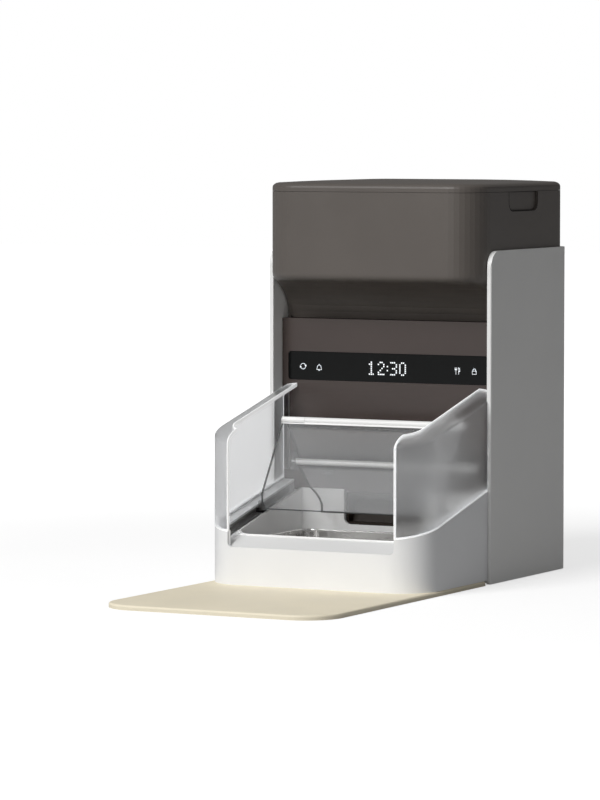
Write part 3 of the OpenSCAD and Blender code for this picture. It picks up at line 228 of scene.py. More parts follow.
M = {
    "shell": moulded("shell_white", (0.83, 0.83, 0.82), 0.42, 0.012, 1800.0, 0.00001),
    "base": moulded("base_white", (0.83, 0.838, 0.85), 0.34, 0.012, 1800.0, 0.000008, coat=0.15),
    "inner": moulded("inner_white", (0.80, 0.80, 0.795), 0.40, 0.015, 1600.0, 0.00001),
    "hopper": moulded("hopper_brown", (0.090, 0.078, 0.069), 0.46, 0.05, 2600.0, 0.000025),
    "panel": moulded("panel_brown", (0.050, 0.0365, 0.0325), 0.36, 0.05, 2600.0, 0.000015),
    "dark": moulded("dark_plastic", (0.030, 0.028, 0.027), 0.45, 0.08, 2200.0, 0.00002),
    # Painted shadow: near-black strips drawn round the latch pockets stand for the shade in their narrow
    # gaps
    "seam": moulded("seam_shadow", (0.012, 0.011, 0.010), 0.70, 0.05, 2200.0, 0.00001, specular=0.1),
    "bead": moulded("tray_bead_white", (0.92, 0.92, 0.915), 0.22, 0.012, 1800.0, 0.00001, coat=0.5),
    "chute": moulded("chute_brown", (0.026, 0.018, 0.013), 0.50, 0.08, 2200.0, 0.00002, specular=0.3),
    # Painted shade: the tray's front apron is coloured grey, darker than the white behind it, as if in
    # shade
    "tray": paint_shade_by_depth(
        moulded("tray_white_apron_shade", (0.90, 0.90, 0.90), 0.40, 0.015, 1600.0, 0.00001),
        SHADED_APRON_Y, (0.69, 0.69, 0.685), (0.93, 0.93, 0.925)),
    "rail": moulded("rail_grey", (0.44, 0.437, 0.432), 0.40, 0.05, 2000.0, 0.00002),
    "display": moulded(
        "display_black", (0.004, 0.0045, 0.0045), 0.14, 0.10, 500.0, 0.000002, specular=0.11),
    "clear": moulded("clear_plastic", (0.55, 0.557, 0.565), 0.05, 0.02, 60.0, 0.00001, alpha=0.165),
    # Painted shade: the clear sheets' cut edges and rims are dark grey to near black, for the dark look
    # clear plastic has at its edges
    "bent_edge_shade": moulded(
        "clear_edge_painted_shade", (0.085, 0.088, 0.09), 0.14, 0.04, 900.0, 0.00001, alpha=0.86),
    "flat_edge_shade": moulded(
        "flat_edge_painted_shade", (0.022, 0.022, 0.022), 0.30, 0.04, 900.0, 0.00001, alpha=0.92, specular=0.15),
    "frosted": moulded(
        "frosted_plastic", (0.79, 0.795, 0.80), 0.305, 0.015, 2400.0, 0.00001, transmission=1.0, ior=1.3),
    # Painted highlight: the shields' cut edges glow faintly white though nothing lights them
    "painted_edge_glow": lit("frosted_edge_painted_glow", (0.92, 0.925, 0.93), 0.45),
    "ridge_bar": clear_beyond(
        moulded("ridge_bar_white", (0.84, 0.84, 0.835), 0.34, 0.012, 1800.0, 0.000008),
        RIDGE_STRIP_Z, True),
    "hinge_bar": clear_beyond(
        moulded("hinge_bar_white", (0.84, 0.84, 0.835), 0.34, 0.012, 1800.0, 0.000008),
        HINGE_STRIP_Z, False),
    "pin": clear_beyond(
        moulded("pin_dark", (0.030, 0.028, 0.027), 0.45, 0.08, 2200.0, 0.00002),
        PIN_LUG_Z, False, 0.2),
    # Painted reflection and highlight: the bowl's steel is darker than steel, as a dark reflection
    # painted in, and its rolled rim much lighter, as a painted highlight
    "bowl": moulded(
        "bowl_steel", (0.44, 0.43, 0.415), 0.27, 0.05, 260.0, 0.00001, stretch=(1, 14, 14), metallic=1.0),
    "bowl_rim": moulded(
        "bowl_rim_steel", (0.82, 0.815, 0.80), 0.20, 0.03, 260.0, 0.00001, metallic=1.0),
    "steel": moulded(
        "steel", (0.55, 0.55, 0.55), 0.30, 0.06, 600.0, 0.00001, stretch=(1, 8, 8), metallic=1.0),
    "mat": moulded("mat_cream", (0.85, 0.775, 0.605), 0.62, 0.02, 1500.0, 0.00005),
    "rubber": moulded("rubber", (0.020, 0.020, 0.020), 0.75, 0.10, 1800.0, 0.00004),
    "board": moulded("board_green", (0.016, 0.090, 0.040), 0.45, 0.15, 700.0, 0.00002),
    "coil": moulded("reader_coil", (0.30, 0.12, 0.04), 0.40, 0.10, 1400.0, 0.00004),
    "silicone": moulded("silicone", (0.25, 0.25, 0.24), 0.65, 0.05, 1200.0, 0.00003),
    "brass": moulded("brass", (0.66, 0.48, 0.20), 0.32, 0.06, 900.0, 0.00001, metallic=1.0),
    "acetal": moulded("acetal", (0.72, 0.69, 0.60), 0.45, 0.03, 1400.0, 0.00001),
    "glow": lit("display_glow", (0.90, 0.93, 0.96), 0.55),
}

NODE_MATERIAL = {
    "outer_shell": "shell", "base_plate": "shell", "rubber_feet": "rubber", "base_screws": "steel",
    "battery_box": "dark", "battery_door": "shell", "power_inlet": "dark", "main_board": "board",
    "speaker": "dark", "hopper_body": "hopper", "hopper_funnel": "hopper", "hopper_lid": "hopper",
    "lid_seal": "silicone", "desiccant_box": "inner", "left_latch": "hopper", "right_latch": "hopper",
    "drum_housing": "inner", "rotor": "silicone", "rotor_shaft": "steel", "dispenser_motor": "steel",
    "food_chute": "chute", "chute_sensors": "dark", "front_panel": "panel", "display_lens": "display",
    "display_board": "board", "tag_reader": "coil", "base_tub": "base", "left_rail": "rail",
    "right_rail": "rail", "left_shield": "frosted", "right_shield": "frosted", "feeding_tray": "tray",
    "bowl": "bowl", "outlet_guard": "clear", "front_mat": "mat", "hinge_brackets": "clear",
    "hinge_shaft": "steel", "rear_leaf": "clear", "hinge_bar": "hinge_bar", "rear_ridge_bar": "ridge_bar",
    "ridge_rod": "steel", "front_ridge_bar": "ridge_bar", "front_leaf": "clear", "guide_pins": "pin",
    "lid_gear": "acetal", "lid_pinion": "brass", "lid_motor": "steel", "drive_cover": "panel",
}

# Edge radius in millimetres of the nodes that get more than the plain one
EDGE = {
    "outer_shell": 1.0, "base_tub": 0.9, "hopper_body": 0.5, "front_panel": 0.5, "feeding_tray": 0.9,
}
PLAIN_EDGE = 0.3
# Faces that meet at less than the first angle are merged, and edges sharper than the second are rounded
FLAT_ANGLE = 0.6
SHARP_ANGLE = 34.0
NORMAL_WEIGHT = 60


def soften(obj, width):
    """Rounds an object's sharp edges and shades the rest smooth, without touching its mesh."""
    merge = obj.modifiers.new("flat_faces", "DECIMATE")
    merge.decimate_type = "DISSOLVE"
    merge.angle_limit = math.radians(FLAT_ANGLE)
    edge = obj.modifiers.new("round_edges", "BEVEL")
    edge.width = width * MM
    edge.segments = 3
    edge.limit_method = "ANGLE"
    edge.angle_limit = math.radians(SHARP_ANGLE)
    edge.harden_normals = False
    edge.miter_outer = "MITER_ARC"
    obj.data.shade_smooth()
    even = obj.modifiers.new("even_normals", "WEIGHTED_NORMAL")
    even.keep_sharp = False
    even.weight = NORMAL_WEIGHT


for node_name, material_name in NODE_MATERIAL.items():
    node = NODES[node_name]
    node.data.materials.clear()
    node.data.materials.append(M[material_name])
    soften(node, EDGE.get(node_name, PLAIN_EDGE))


def add_mesh(name, vertices, faces, material, body, smooth=False):
    mesh = bpy.data.meshes.new(name)
    mesh.from_pydata([place(*v) for v in vertices], [], faces)
    mesh.update()
    build = bmesh.new()
    build.from_mesh(mesh)
    bmesh.ops.recalc_face_normals(build, faces=build.faces)
    build.to_mesh(mesh)
    build.free()
    mesh.materials.append(M[material])
    if smooth:
        mesh.shade_smooth()
    obj = bpy.data.objects.new(name, mesh)
    bpy.context.scene.collection.objects.link(obj)
    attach(obj, body)
    return obj


# Side shields

SHIELD_STEPS = 14
LIP_TURNS = (9, 18, 27, 36, 45, 54, 63, 72, 81, 87, 90)
# The flange is a plate across a shield's end at the panel: its inner edge, its thickness, and how far it
# stays above the base's rim and below the shield's top
FLANGE_X = 103.0
FLANGE_T = 2
FLANGE_FOOT = 8
FLANGE_DROP = 4


def bend_path(inset, limit, steps):
    """Plan of a shield's surface, from the panel to its free front end.

    It lies a distance inset in from the base's outline, and no further out than limit at the panel.
    """
    side = BAY_X - inset
    radius = BAY_R - inset
    centre = (BAY_X - BAY_R, -BAY_D + BAY_R)
    last = math.acos((NOTCH_X - centre[0]) / radius)
    turns = [last * i / steps for i in range(steps)] + [last - EDGE_STRIP / radius, last]
    points = [(min(side, limit), SHIELD_BACK), (min(side, limit), STEP_Y), (side, STEP_Y - 0.02)]
    for i in range(1, 7):
        points.append((side, STEP_Y + (centre[1] - STEP_Y) * i / 7))
    for angle in turns:
        points.append((centre[0] + radius * math.cos(angle), centre[1] - radius * math.sin(angle)))
    return points


def shield_rows(depth, limit):
    """Rows of points of a shield's outer face, or of its inner one, from its foot to the lip's edge."""
    rows = []
    levels = [(depth, RIM_H), (depth, RIM_H + EDGE_STRIP)]
    for i in range(1, 6):
        levels.append((depth, RIM_H + (SHIELD_TOP - LIP_H - RIM_H) * i / 5))
    for degrees in LIP_TURNS:
        angle = math.radians(degrees)
        inset = LIP_W * (1 - math.cos(angle)) + depth * math.cos(angle)
        levels.append((inset, SHIELD_TOP - LIP_H + (LIP_H - depth) * math.sin(angle)))
    for inset, level in levels:
        rows.append([(x, y, level + STEEP * y) for x, y in bend_path(inset, limit, SHIELD_STEPS)])
    return rows


def add_shield(name, node, side):
    """Side shield: frosted wall and lip, with cut edges at its foot, lip, front and back that glow as a
    painted highlight.
    """
    outer = shield_rows(0.0, FIT_X)
    inner = shield_rows(SHIELD_WALL, BAY_X)
    across = len(outer[0])
    vertices = []
    for rows in (outer, inner):
        for row in rows:
            vertices += [(side * x, y, z) for x, y, z in row]
    half = len(outer) * across
    faces = []
    kinds = []

    def quad(a, b, c, d, kind):
        faces.append((a, b, c, d) if side > 0 else (d, c, b, a))
        kinds.append(kind)

    for j in range(len(outer) - 1):
        for i in range(across - 1):
            a = j * across + i
            glow_strip = 1 if j in (0, len(outer) - 2) or i == across - 2 else 0
            quad(a + across, a + across + 1, a + 1, a, glow_strip)
            quad(half + a, half + a + 1, half + a + across + 1, half + a + across, glow_strip)
    for i in range(across - 1):
        top = (len(outer) - 1) * across + i
        quad(i, i + 1, half + i + 1, half + i, 1)
        quad(half + top, half + top + 1, top + 1, top, 1)
    for j in range(len(outer) - 1):
        a = j * across
        b = a + across - 1
        quad(a, half + a, half + a + across, a + across, 1)
        quad(b + across, half + b + across, half + b, b, 1)
    start = len(vertices)
    for x in (FLANGE_X, FIT_X):
        for y in (SHIELD_BACK - FLANGE_T, SHIELD_BACK):
            for z in (RIM_H + FLANGE_FOOT, SHIELD_TOP - FLANGE_DROP):
                vertices.append((side * x, y, z + STEEP * y))
    for a, b, c, d in BLOCK_FACES:
        quad(start + a, start + b, start + c, start + d, 0)
    obj = add_mesh(name, vertices, faces, "frosted", "housing", True)
    obj.data.materials.append(M["painted_edge_glow"])
    for face, kind in zip(obj.data.polygons, kinds):
        face.material_index = kind
    # The rounded edges take the glowing material too, as painted highlight
    edge = obj.modifiers.new("painted_highlight_edges", "BEVEL")
    edge.width = SHIELD_EASE * MM
    edge.segments = 2
    edge.limit_method = "ANGLE"
    edge.angle_limit = math.radians(CUT_ANGLE)
    edge.material = 1
    even = obj.modifiers.new("even_normals", "WEIGHTED_NORMAL")
    even.keep_sharp = False
    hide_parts(node)


add_shield("left_shield_wall", "left_shield", -1)
add_shield("right_shield_wall", "right_shield", 1)


# Clear leaves and guard, with painted shade on their cut edges and rims, which are darker than their
# faces

LEAF_T = 2.4
FRONT_X = 92.0
REAR_X = 88.5
# The front leaf's side view: where its bend's two sides would meet, its lip, the bend's radius, and how
# far below the ridge the sheet begins
LEAF_BEND = Vector((-58.5, 81.0))
LEAF_LIP = Vector((-57.7, 66.5))
LEAF_ROUND = 9.0
LEAF_GAP = 2.0
# The guard: its side view, its half width at the hinge bar and at its foot, and where its sides bend
GUARD_TOP = Vector((11.0, 100.8))
GUARD_FOOT = Vector((-10.0, 61.0))
GUARD_WIDE = 88.5
GUARD_NARROW = 55.0
BEND_START = 0.45
GUARD_T = 1.8
TAB_X = 60
TAB_HALF = 4
TAB_Y = (9.2, 18.0)
TAB_Z = (94.8, 98.8)


# Gives a clear sheet's marked faces the dark edge material, as painted shade, and eases its edges
def finish_plate(obj, kinds, node, shaded_edge_material):
    obj.data.materials.append(M[shaded_edge_material])
    for face, kind in zip(obj.data.polygons, kinds):
        face.material_index = kind
    edge = obj.modifiers.new("eased_edges", "BEVEL")
    edge.width = PLATE_EASE * MM
    edge.segments = 2
    edge.limit_method = "ANGLE"
    edge.angle_limit = math.radians(CUT_ANGLE)
    edge.material = 1
    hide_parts(node)


def add_bent_sheet(name, points, half, thick, body, node):
    """Sheet of one width whose side view follows the points, given as (y, z)."""
    upper = []
    lower = []
    for i, (y, z) in enumerate(points):
        before = points[max(i - 1, 0)]
        after = points[min(i + 1, len(points) - 1)]
        length = math.hypot(after[0] - before[0], after[1] - before[1])
        ny = -(after[1] - before[1]) / length * thick / 2
        nz = (after[0] - before[0]) / length * thick / 2
        upper.append((y + ny, z + nz))
        lower.append((y - ny, z - nz))
    outline = upper + lower[::-1]
    count = len(outline)
    inner = half - EDGE_STRIP
    across = [-half] + [-inner + 2 * inner * c / 5 for c in range(6)] + [half]
    columns = len(across) - 1
    vertices = []
    for x in across:
        vertices += [(x, y, z) for y, z in outline]
    faces = []
    kinds = []
    for c in range(columns):
        for i in range(count):
            j = (i + 1) % count
            faces.append((c * count + i, c * count + j, (c + 1) * count + j, (c + 1) * count + i))
            rim = c in (0, columns - 1) or i in range(len(upper) - 2, len(upper) + 1) or i == count - 1
            kinds.append(1 if rim else 0)
    for c in (0, columns):
        for i in range(len(upper) - 1):
            a = c * count + i
            b = c * count + count - 1 - i
            faces.append((a, a + 1, b - 1, b))
            kinds.append(1)
    obj = add_mesh(name, vertices, faces, "clear", body, True)
    finish_plate(obj, kinds, node, "bent_edge_shade")


def front_leaf_line():
    """Side view of the front leaf's middle: straight from the ridge bar, then round to its lip."""
    down = (LEAF_BEND - RIDGE).normalized()
    out = (LEAF_LIP - LEAF_BEND).normalized()
    half = math.acos(max(-1.0, min(1.0, down.dot(out)))) / 2
    reach = LEAF_ROUND * math.tan(half)
    start = RIDGE + down * LEAF_GAP
    enter = LEAF_BEND - down * reach
    leave = LEAF_BEND + out * reach
    points = [start + (enter - start) * i / 8 for i in range(8)]
    for i in range(9):
        t = i / 8
        points.append(enter * (1 - t) ** 2 + LEAF_BEND * 2 * t * (1 - t) + leave * t ** 2)
    points.append(LEAF_LIP - out * EDGE_STRIP)
    points.append(LEAF_LIP)
    return [(v.x, v.y) for v in points]


def add_flat_sheet(name, outline, corner, along, thick, body, node, tabs=()):
    """Flat sheet drawn as (x, distance along a direction of the side view), with block tabs behind it."""
    ny, nz = -along[1], along[0]
    vertices = []
    for turn in (0.5, -0.5):
        for x, r in outline:
            y = corner[0] + along[0] * r + ny * thick * turn
            z = corner[1] + along[1] * r + nz * thick * turn
            vertices.append((x, y, z))
    count = len(outline)
    faces = [tuple(range(count)), tuple(range(2 * count - 1, count - 1, -1))]
    kinds = [0, 0]
    for i in range(count):
        j = (i + 1) % count
        faces.append((i, j, count + j, count + i))
        kinds.append(1)
    for low, high in tabs:
        start = len(vertices)
        for x in (low[0], high[0]):
            vertices += [(x, y, z) for y in (low[1], high[1]) for z in (low[2], high[2])]
        for quad in BLOCK_FACES:
            faces.append(tuple(start + q for q in quad))
            kinds.append(0)
    obj = add_mesh(name, vertices, faces, "clear", body)
    finish_plate(obj, kinds, node, "flat_edge_shade")
    # An inset strip round each flat face takes the dark edge material too, as painted shade
    build = bmesh.new()
    build.from_mesh(obj.data)
    build.faces.ensure_lookup_table()
    shaded_rims = bmesh.ops.inset_individual(build, faces=build.faces[:2], thickness=FLAT_SHADE_RIM * MM)
    for face in shaded_rims["faces"]:
        face.material_index = 1
    build.to_mesh(obj.data)
    build.free()


def rear_leaf_outline(length):
    end = length - LEAF_GAP
    return [(-REAR_X, LEAF_GAP), (REAR_X, LEAF_GAP), (REAR_X, end), (-REAR_X, end)]


def guard_outline(length, steps=28):
    """Guard of the outlet: straight sides from the hinge bar, then an S-bend down to its foot."""
    edge = []
    for i in range(steps + 1):
        way = i / steps
        share = way if way < BEND_START else 1 - (1 - way) ** 2 / (1 - BEND_START)
        edge.append((GUARD_WIDE - (GUARD_WIDE - GUARD_NARROW) * share, length * way))
    return edge + [(-x, r) for x, r in edge[::-1]]


add_bent_sheet("front_leaf_sheet", front_leaf_line(), FRONT_X, LEAF_T, "front_leaf", "front_leaf")
rear_length = (HINGE - RIDGE).length
rear_way = (HINGE - RIDGE) / rear_length
rear_plan = rear_leaf_outline(rear_length)
add_flat_sheet("rear_leaf_sheet", rear_plan, RIDGE, rear_way, LEAF_T, "rear_leaf", "rear_leaf")
guard_length = (GUARD_FOOT - GUARD_TOP).length
guard_way = (GUARD_FOOT - GUARD_TOP) / guard_length
guard_plan = guard_outline(guard_length)
guard_corner = GUARD_TOP + Vector((guard_way[1], -guard_way[0])) * (GUARD_T / 2)
guard_tabs = []
for tab_x in (-TAB_X, TAB_X):
    guard_tabs.append(((tab_x - TAB_HALF, TAB_Y[0], TAB_Z[0]), (tab_x + TAB_HALF, TAB_Y[1], TAB_Z[1])))
add_flat_sheet("outlet_guard_sheet", guard_plan, guard_corner, guard_way, GUARD_T, "housing",
               "outlet_guard", guard_tabs)


# Rolled rims, and a strip of painted shadow round each latch

# Each rim's half width, front, back and corner radius, then its height at y = 0 and its bead's radius
TRAY_RIM = (89.2, -117.2, 15.0, 16.2)
TRAY_H = 77.0
TRAY_BEAD = 1.1
BOWL_RIM = (86.2, -114.2, 13.6, 13.2)
BOWL_Z = 42.0
BOWL_BEAD = 1.2
# The painted shadow strip's front, back, foot, top and corner radius, its width and how far it stands
# proud
LATCH_SHADOW_STRIP = (48.0, 111.0, 343.0, 360.2, 8.0)
SHADOW_STRIP_WIDTH = 0.8
SHADOW_STRIP_PROUD = 0.04


def add_tube(name, path, radius, material, closed=False, sides=10):
    """Round bead of one radius along a path of points."""
    count = len(path)
    vertices = []
    for i in range(count):
        before = Vector(path[(i - 1) % count] if closed else path[max(i - 1, 0)])
        after = Vector(path[(i + 1) % count] if closed else path[min(i + 1, count - 1)])
        along = (after - before).normalized()
        side = along.cross(Vector((0, 0, 1))).normalized()
        rise = side.cross(along)
        for k in range(sides):
            angle = 2 * math.pi * k / sides
            across = Vector(path[i]) + side * radius * math.cos(angle)
            vertices.append(tuple(across + rise * radius * math.sin(angle)))
    faces = []
    for i in range(count if closed else count - 1):
        j = (i + 1) % count
        for k in range(sides):
            m = (k + 1) % sides
            faces.append((i * sides + k, i * sides + m, j * sides + m, j * sides + k))
    if not closed:
        faces.append(tuple(range(sides)))
        faces.append(tuple(range(count * sides - 1, (count - 1) * sides - 1, -1)))
    add_mesh(name, vertices, faces, material, "housing", True)


def corner_arc(x, y, radius, start, end, steps=10):
    points = []
    for i in range(steps + 1):
        angle = math.radians(start + (end - start) * i / steps)
        points.append((x + radius * math.cos(angle), y + radius * math.sin(angle)))
    return points


def rim_plan(half, front, back, radius, closed):
    """Plan of a rim with round front corners, and round back ones where it closes."""
    plan = [] if closed else [(half, back)]
    if closed:
        plan += corner_arc(-half + radius, back - radius, radius, 180, 90)
        plan += corner_arc(half - radius, back - radius, radius, 90, 0)
    plan += corner_arc(half - radius, front + radius, radius, 0, -90)
    plan += corner_arc(-half + radius, front + radius, radius, -90, -180)
    return plan if closed else plan + [(-half, back)]


tray_rim = [(x, y, TRAY_H + STEEP * y) for x, y in rim_plan(*TRAY_RIM, False)]
add_tube("tray_bead", tray_rim, TRAY_BEAD, "bead")
# The bowl's rolled rim bead carries the painted highlight
bowl_rim = [(x, y, BOWL_Z) for x, y in rim_plan(*BOWL_RIM, True)]
add_tube("bowl_bead", bowl_rim, BOWL_BEAD, "bowl_rim", True)


def add_latch_shadow_strip(name, side):
    """Thin dark strip of painted shadow on the hopper's side, standing for the shade in the gap round the
    front and foot of a latch's pocket.
    """
    x = side * (FIT_X + SHADOW_STRIP_PROUD)
    front, back, foot, top, radius = LATCH_SHADOW_STRIP
    plan = [(front, top)]
    plan += corner_arc(front + radius, foot + radius, radius, 180, 270)
    plan += corner_arc(back - radius, foot + radius, radius, 270, 360)
    plan += [(back, top)]
    vertices = []
    for i, (y, z) in enumerate(plan):
        before = plan[max(i - 1, 0)]
        after = plan[min(i + 1, len(plan) - 1)]
        length = math.hypot(after[0] - before[0], after[1] - before[1])
        oy = (after[1] - before[1]) / length * SHADOW_STRIP_WIDTH
        oz = -(after[0] - before[0]) / length * SHADOW_STRIP_WIDTH
        vertices += [(x, y, z), (x, y + oy, z + oz)]
    faces = [(2 * i, 2 * i + 1, 2 * i + 3, 2 * i + 2) for i in range(len(plan) - 1)]
    add_mesh(name, vertices, faces, "seam", "housing")


add_latch_shadow_strip("left_latch_shadow_strip", -1)
add_latch_shadow_strip("right_latch_shadow_strip", 1)


# Marks of the display, a hair proud of its window: their plane and half their thickness, the icons'
# scale, the digits' middle height, pitch and dot radius, and the strokes' widths

GLASS_Y = 18.0
MARK_T = 0.06
ICON_SHARE = 0.88
DIGITS_Z = 195.6
DOT_PITCH = 1.86
DOT_R = 0.76
STROKE = 0.40
PRONG = 0.42
BROAD = 0.5
DIGITS = {
    "0": (".##.", "#..#", "#..#", "#..#", "#..#", "#..#", ".##."),
    "1": (".#..", "##..", ".#..", ".#..", ".#..", ".#..", "###."),
    "2": (".##.", "#..#", "...#", "..#.", ".#..", "#...", "####"),
    "3": ("###.", "...#", "...#", ".##.", "...#", "...#", "###."),
    ":": (".", ".", "#", ".", "#", ".", "."),
}


class Marks:
    """Collects flat marks on the display window into one mesh."""

    def __init__(self):
        self.vertices = []
        self.faces = []

    def polygon(self, outline):
        start = len(self.vertices)
        count = len(outline)
        for x, z in outline:
            self.vertices.append((x, GLASS_Y - MARK_T, z))
        for x, z in outline:
            self.vertices.append((x, GLASS_Y + MARK_T, z))
        self.faces.append(tuple(range(start, start + count)))
        self.faces.append(tuple(range(start + 2 * count - 1, start + count - 1, -1)))
        for i in range(count):
            j = (i + 1) % count
            self.faces.append((start + i, start + j, start + count + j, start + count + i))

    def shrink(self, start, x, z, share):
        """Draws the marks from one index on smaller, about a middle point."""
        for i in range(start, len(self.vertices)):
            vx, vy, vz = self.vertices[i]
            self.vertices[i] = (x + (vx - x) * share, vy, z + (vz - z) * share)

    def dot(self, x, z, radius, sides=8):
        turns = [math.pi / sides + 2 * math.pi * i / sides for i in range(sides)]
        self.polygon([(x + radius * math.cos(turn), z + radius * math.sin(turn)) for turn in turns])

    def line(self, points, width):
        """A stroke of one width through the points."""
        for (x0, z0), (x1, z1) in zip(points, points[1:]):
            length = math.hypot(x1 - x0, z1 - z0)
            ox = -(z1 - z0) / length * width / 2
            oz = (x1 - x0) / length * width / 2
            self.polygon([(x0 + ox, z0 + oz), (x1 + ox, z1 + oz), (x1 - ox, z1 - oz), (x0 - ox, z0 - oz)])
        for x, z in points:
            self.dot(x, z, width / 2, 10)

    def arc(self, x, z, radius, start, end, width, steps=14):
        points = []
        for i in range(steps + 1):
            angle = math.radians(start + (end - start) * i / steps)
            points.append((x + radius * math.cos(angle), z + radius * math.sin(angle)))
        self.line(points, width)


def display_marks():
    """A plain clock time in dots, seven rows high."""
    marks = Marks()
    text = "12:30"
    columns = sum(len(DIGITS[c][0]) for c in text) + len(text) - 1
    x = -DOT_PITCH * (columns - 1) / 2
    for character in text:
        rows = DIGITS[character]
        for down, row in enumerate(rows):
            for across, cell in enumerate(row):
                if cell == "#":
                    marks.dot(x + across * DOT_PITCH, DIGITS_Z + (3 - down) * DOT_PITCH, DOT_R)
        x += (len(rows[0]) + 1) * DOT_PITCH
    add_mesh("display_digits", marks.vertices, marks.faces, "glow", "housing")


def touch_icons():
    """Four generic icons, each drawn about its own middle point."""
    marks = Marks()
    # Two arrows that chase each other round a ring
    cx, cz, r = -88.5, 195.6, 3.0
    marks.arc(cx, cz, r, 20, 160, STROKE)
    marks.arc(cx, cz, r, 200, 340, STROKE)
    marks.polygon([(cx + r - 1.2, cz + 0.9), (cx + r + 1.1, cz + 1.6), (cx + r + 0.4, cz - 0.8)])
    marks.polygon([(cx - r + 1.2, cz - 0.9), (cx - r - 1.1, cz - 1.6), (cx - r - 0.4, cz + 0.8)])
    marks.shrink(0, cx, cz, ICON_SHARE)
    # Bell
    start = len(marks.vertices)
    cx, cz = -71.5, 195.0
    marks.arc(cx, cz + 0.2, 2.2, 0, 180, STROKE)
    skirt = [(cx - 2.2, cz + 0.2), (cx - 2.9, cz - 2.4), (cx + 2.9, cz - 2.4), (cx + 2.2, cz + 0.2)]
    marks.line(skirt, STROKE)
    marks.line([(cx, cz + 2.4), (cx, cz + 3.4)], STROKE)
    marks.arc(cx, cz - 2.7, 0.9, 190, 350, STROKE, 6)
    marks.shrink(start, cx, cz, ICON_SHARE)
    # Fork and knife
    start = len(marks.vertices)
    cx, cz = 72.1, 195.3
    for prong in (-2.6, -1.5, -0.4):
        marks.line([(cx + prong, cz + 3.4), (cx + prong, cz + 1.2)], PRONG)
    marks.line([(cx - 2.6, cz + 1.2), (cx - 0.4, cz + 1.2)], BROAD)
    marks.line([(cx - 1.5, cz + 1.2), (cx - 1.5, cz - 3.4)], STROKE)
    marks.line([(cx + 1.7, cz + 3.4), (cx + 1.7, cz - 3.4)], STROKE)
    blade = [(cx + 1.7, cz + 3.4), (cx + 2.9, cz + 2.2), (cx + 2.9, cz - 0.4), (cx + 1.7, cz - 0.4)]
    marks.line(blade, BROAD)
    marks.shrink(start, cx, cz, ICON_SHARE)
    # Padlock
    start = len(marks.vertices)
    cx, cz = 89.5, 195.2
    body = [(cx - 2.3, cz - 2.8), (cx + 2.3, cz - 2.8), (cx + 2.3, cz + 0.5), (cx - 2.3, cz + 0.5)]
    marks.line(body + body[:1], STROKE)
    marks.arc(cx, cz + 1.4, 1.5, 0, 180, STROKE)
    marks.line([(cx - 1.5, cz + 1.4), (cx - 1.5, cz + 0.4)], STROKE)
    marks.line([(cx + 1.5, cz + 1.4), (cx + 1.5, cz + 0.4)], STROKE)
    marks.shrink(start, cx, cz, ICON_SHARE)
    add_mesh("touch_icons", marks.vertices, marks.faces, "glow", "housing")


display_marks()
touch_icons()


# Floor, world, lamp and camera

FLOOR_HALF = 9.0
FLOOR_CELLS = 12
FLOOR_DARK = (0.375, 0.375, 0.375)
FLOOR_LIGHT = (0.385, 0.385, 0.385)
MOTTLE_SCALE = 3.0
# The floor's own white grows with the distance from the middle, which is given in metres
NEAR = 0.4
NEAR_WHITE = (0.69, 0.69, 0.69, 1)
FAR = 1.7
FAR_WHITE = (1.0, 1.0, 1.0, 1)
REACH = 5.0
# Gloss gets all of that white where the floor lies this way from the middle, and this share elsewhere
FRONT_WAY = (-0.455, -0.89, 0.0)
GLOSS_SHARE = 0.38
GLOSS_EDGE = (0.1, 0.8)
# The world's light is strongest from this direction
SKY_WAY = (-0.55, -0.50, 0.67)
SKY_STRENGTH = (0.10, 0.31)
KEY_PLACE = (-0.6, -2.65, 2.5)
KEY_TARGET = (0, 0, 0.2)
KEY_SIZE = 1.5
KEY_POWER = 108
CAMERA_LENS = 196.2
CAMERA_SENSOR = 36
CAMERA_FAR = 50
CAMERA_PLACE = (1.8075, -3.538, 0.430)
CAMERA_TURN = (math.radians(90 - 3.72), 0, 0.4819)


def math_node(tree, operation, first, second):
    node = tree.nodes.new("ShaderNodeMath")
    node.operation = operation
    tree.links.new(first, node.inputs[0])
    if isinstance(second, float):
        node.inputs[1].default_value = second
    else:
        tree.links.new(second, node.inputs[1])
    return node.outputs["Value"]


def dot_product(tree, vector, way):
    node = tree.nodes.new("ShaderNodeVectorMath")
    node.operation = "DOT_PRODUCT"
    node.inputs[1].default_value = way
    tree.links.new(vector, node.inputs[0])
    return node.outputs["Value"]


def white_share(tree):
    """The share of its white that the floor shows to a ray.

    It is one for rays from the camera or through glass, less for gloss beside the front, and else zero.
    """
    path = tree.nodes.new("ShaderNodeLightPath")
    way = tree.nodes.new("ShaderNodeVectorMath")
    way.operation = "NORMALIZE"
    tree.links.new(coordinates(tree), way.inputs[0])
    share = tree.nodes.new("ShaderNodeMapRange")
    share.interpolation_type = "SMOOTHSTEP"
    share.inputs["From Min"].default_value = GLOSS_EDGE[0]
    share.inputs["From Max"].default_value = GLOSS_EDGE[1]
    share.inputs["To Min"].default_value = GLOSS_SHARE
    tree.links.new(dot_product(tree, way.outputs["Vector"], FRONT_WAY), share.inputs["Value"])
    gloss = math_node(tree, "MULTIPLY", path.outputs["Is Glossy Ray"], share.outputs["Result"])
    seen = math_node(tree, "MAXIMUM", path.outputs["Is Camera Ray"], gloss)
    return math_node(tree, "MAXIMUM", seen, path.outputs["Is Transmission Ray"])


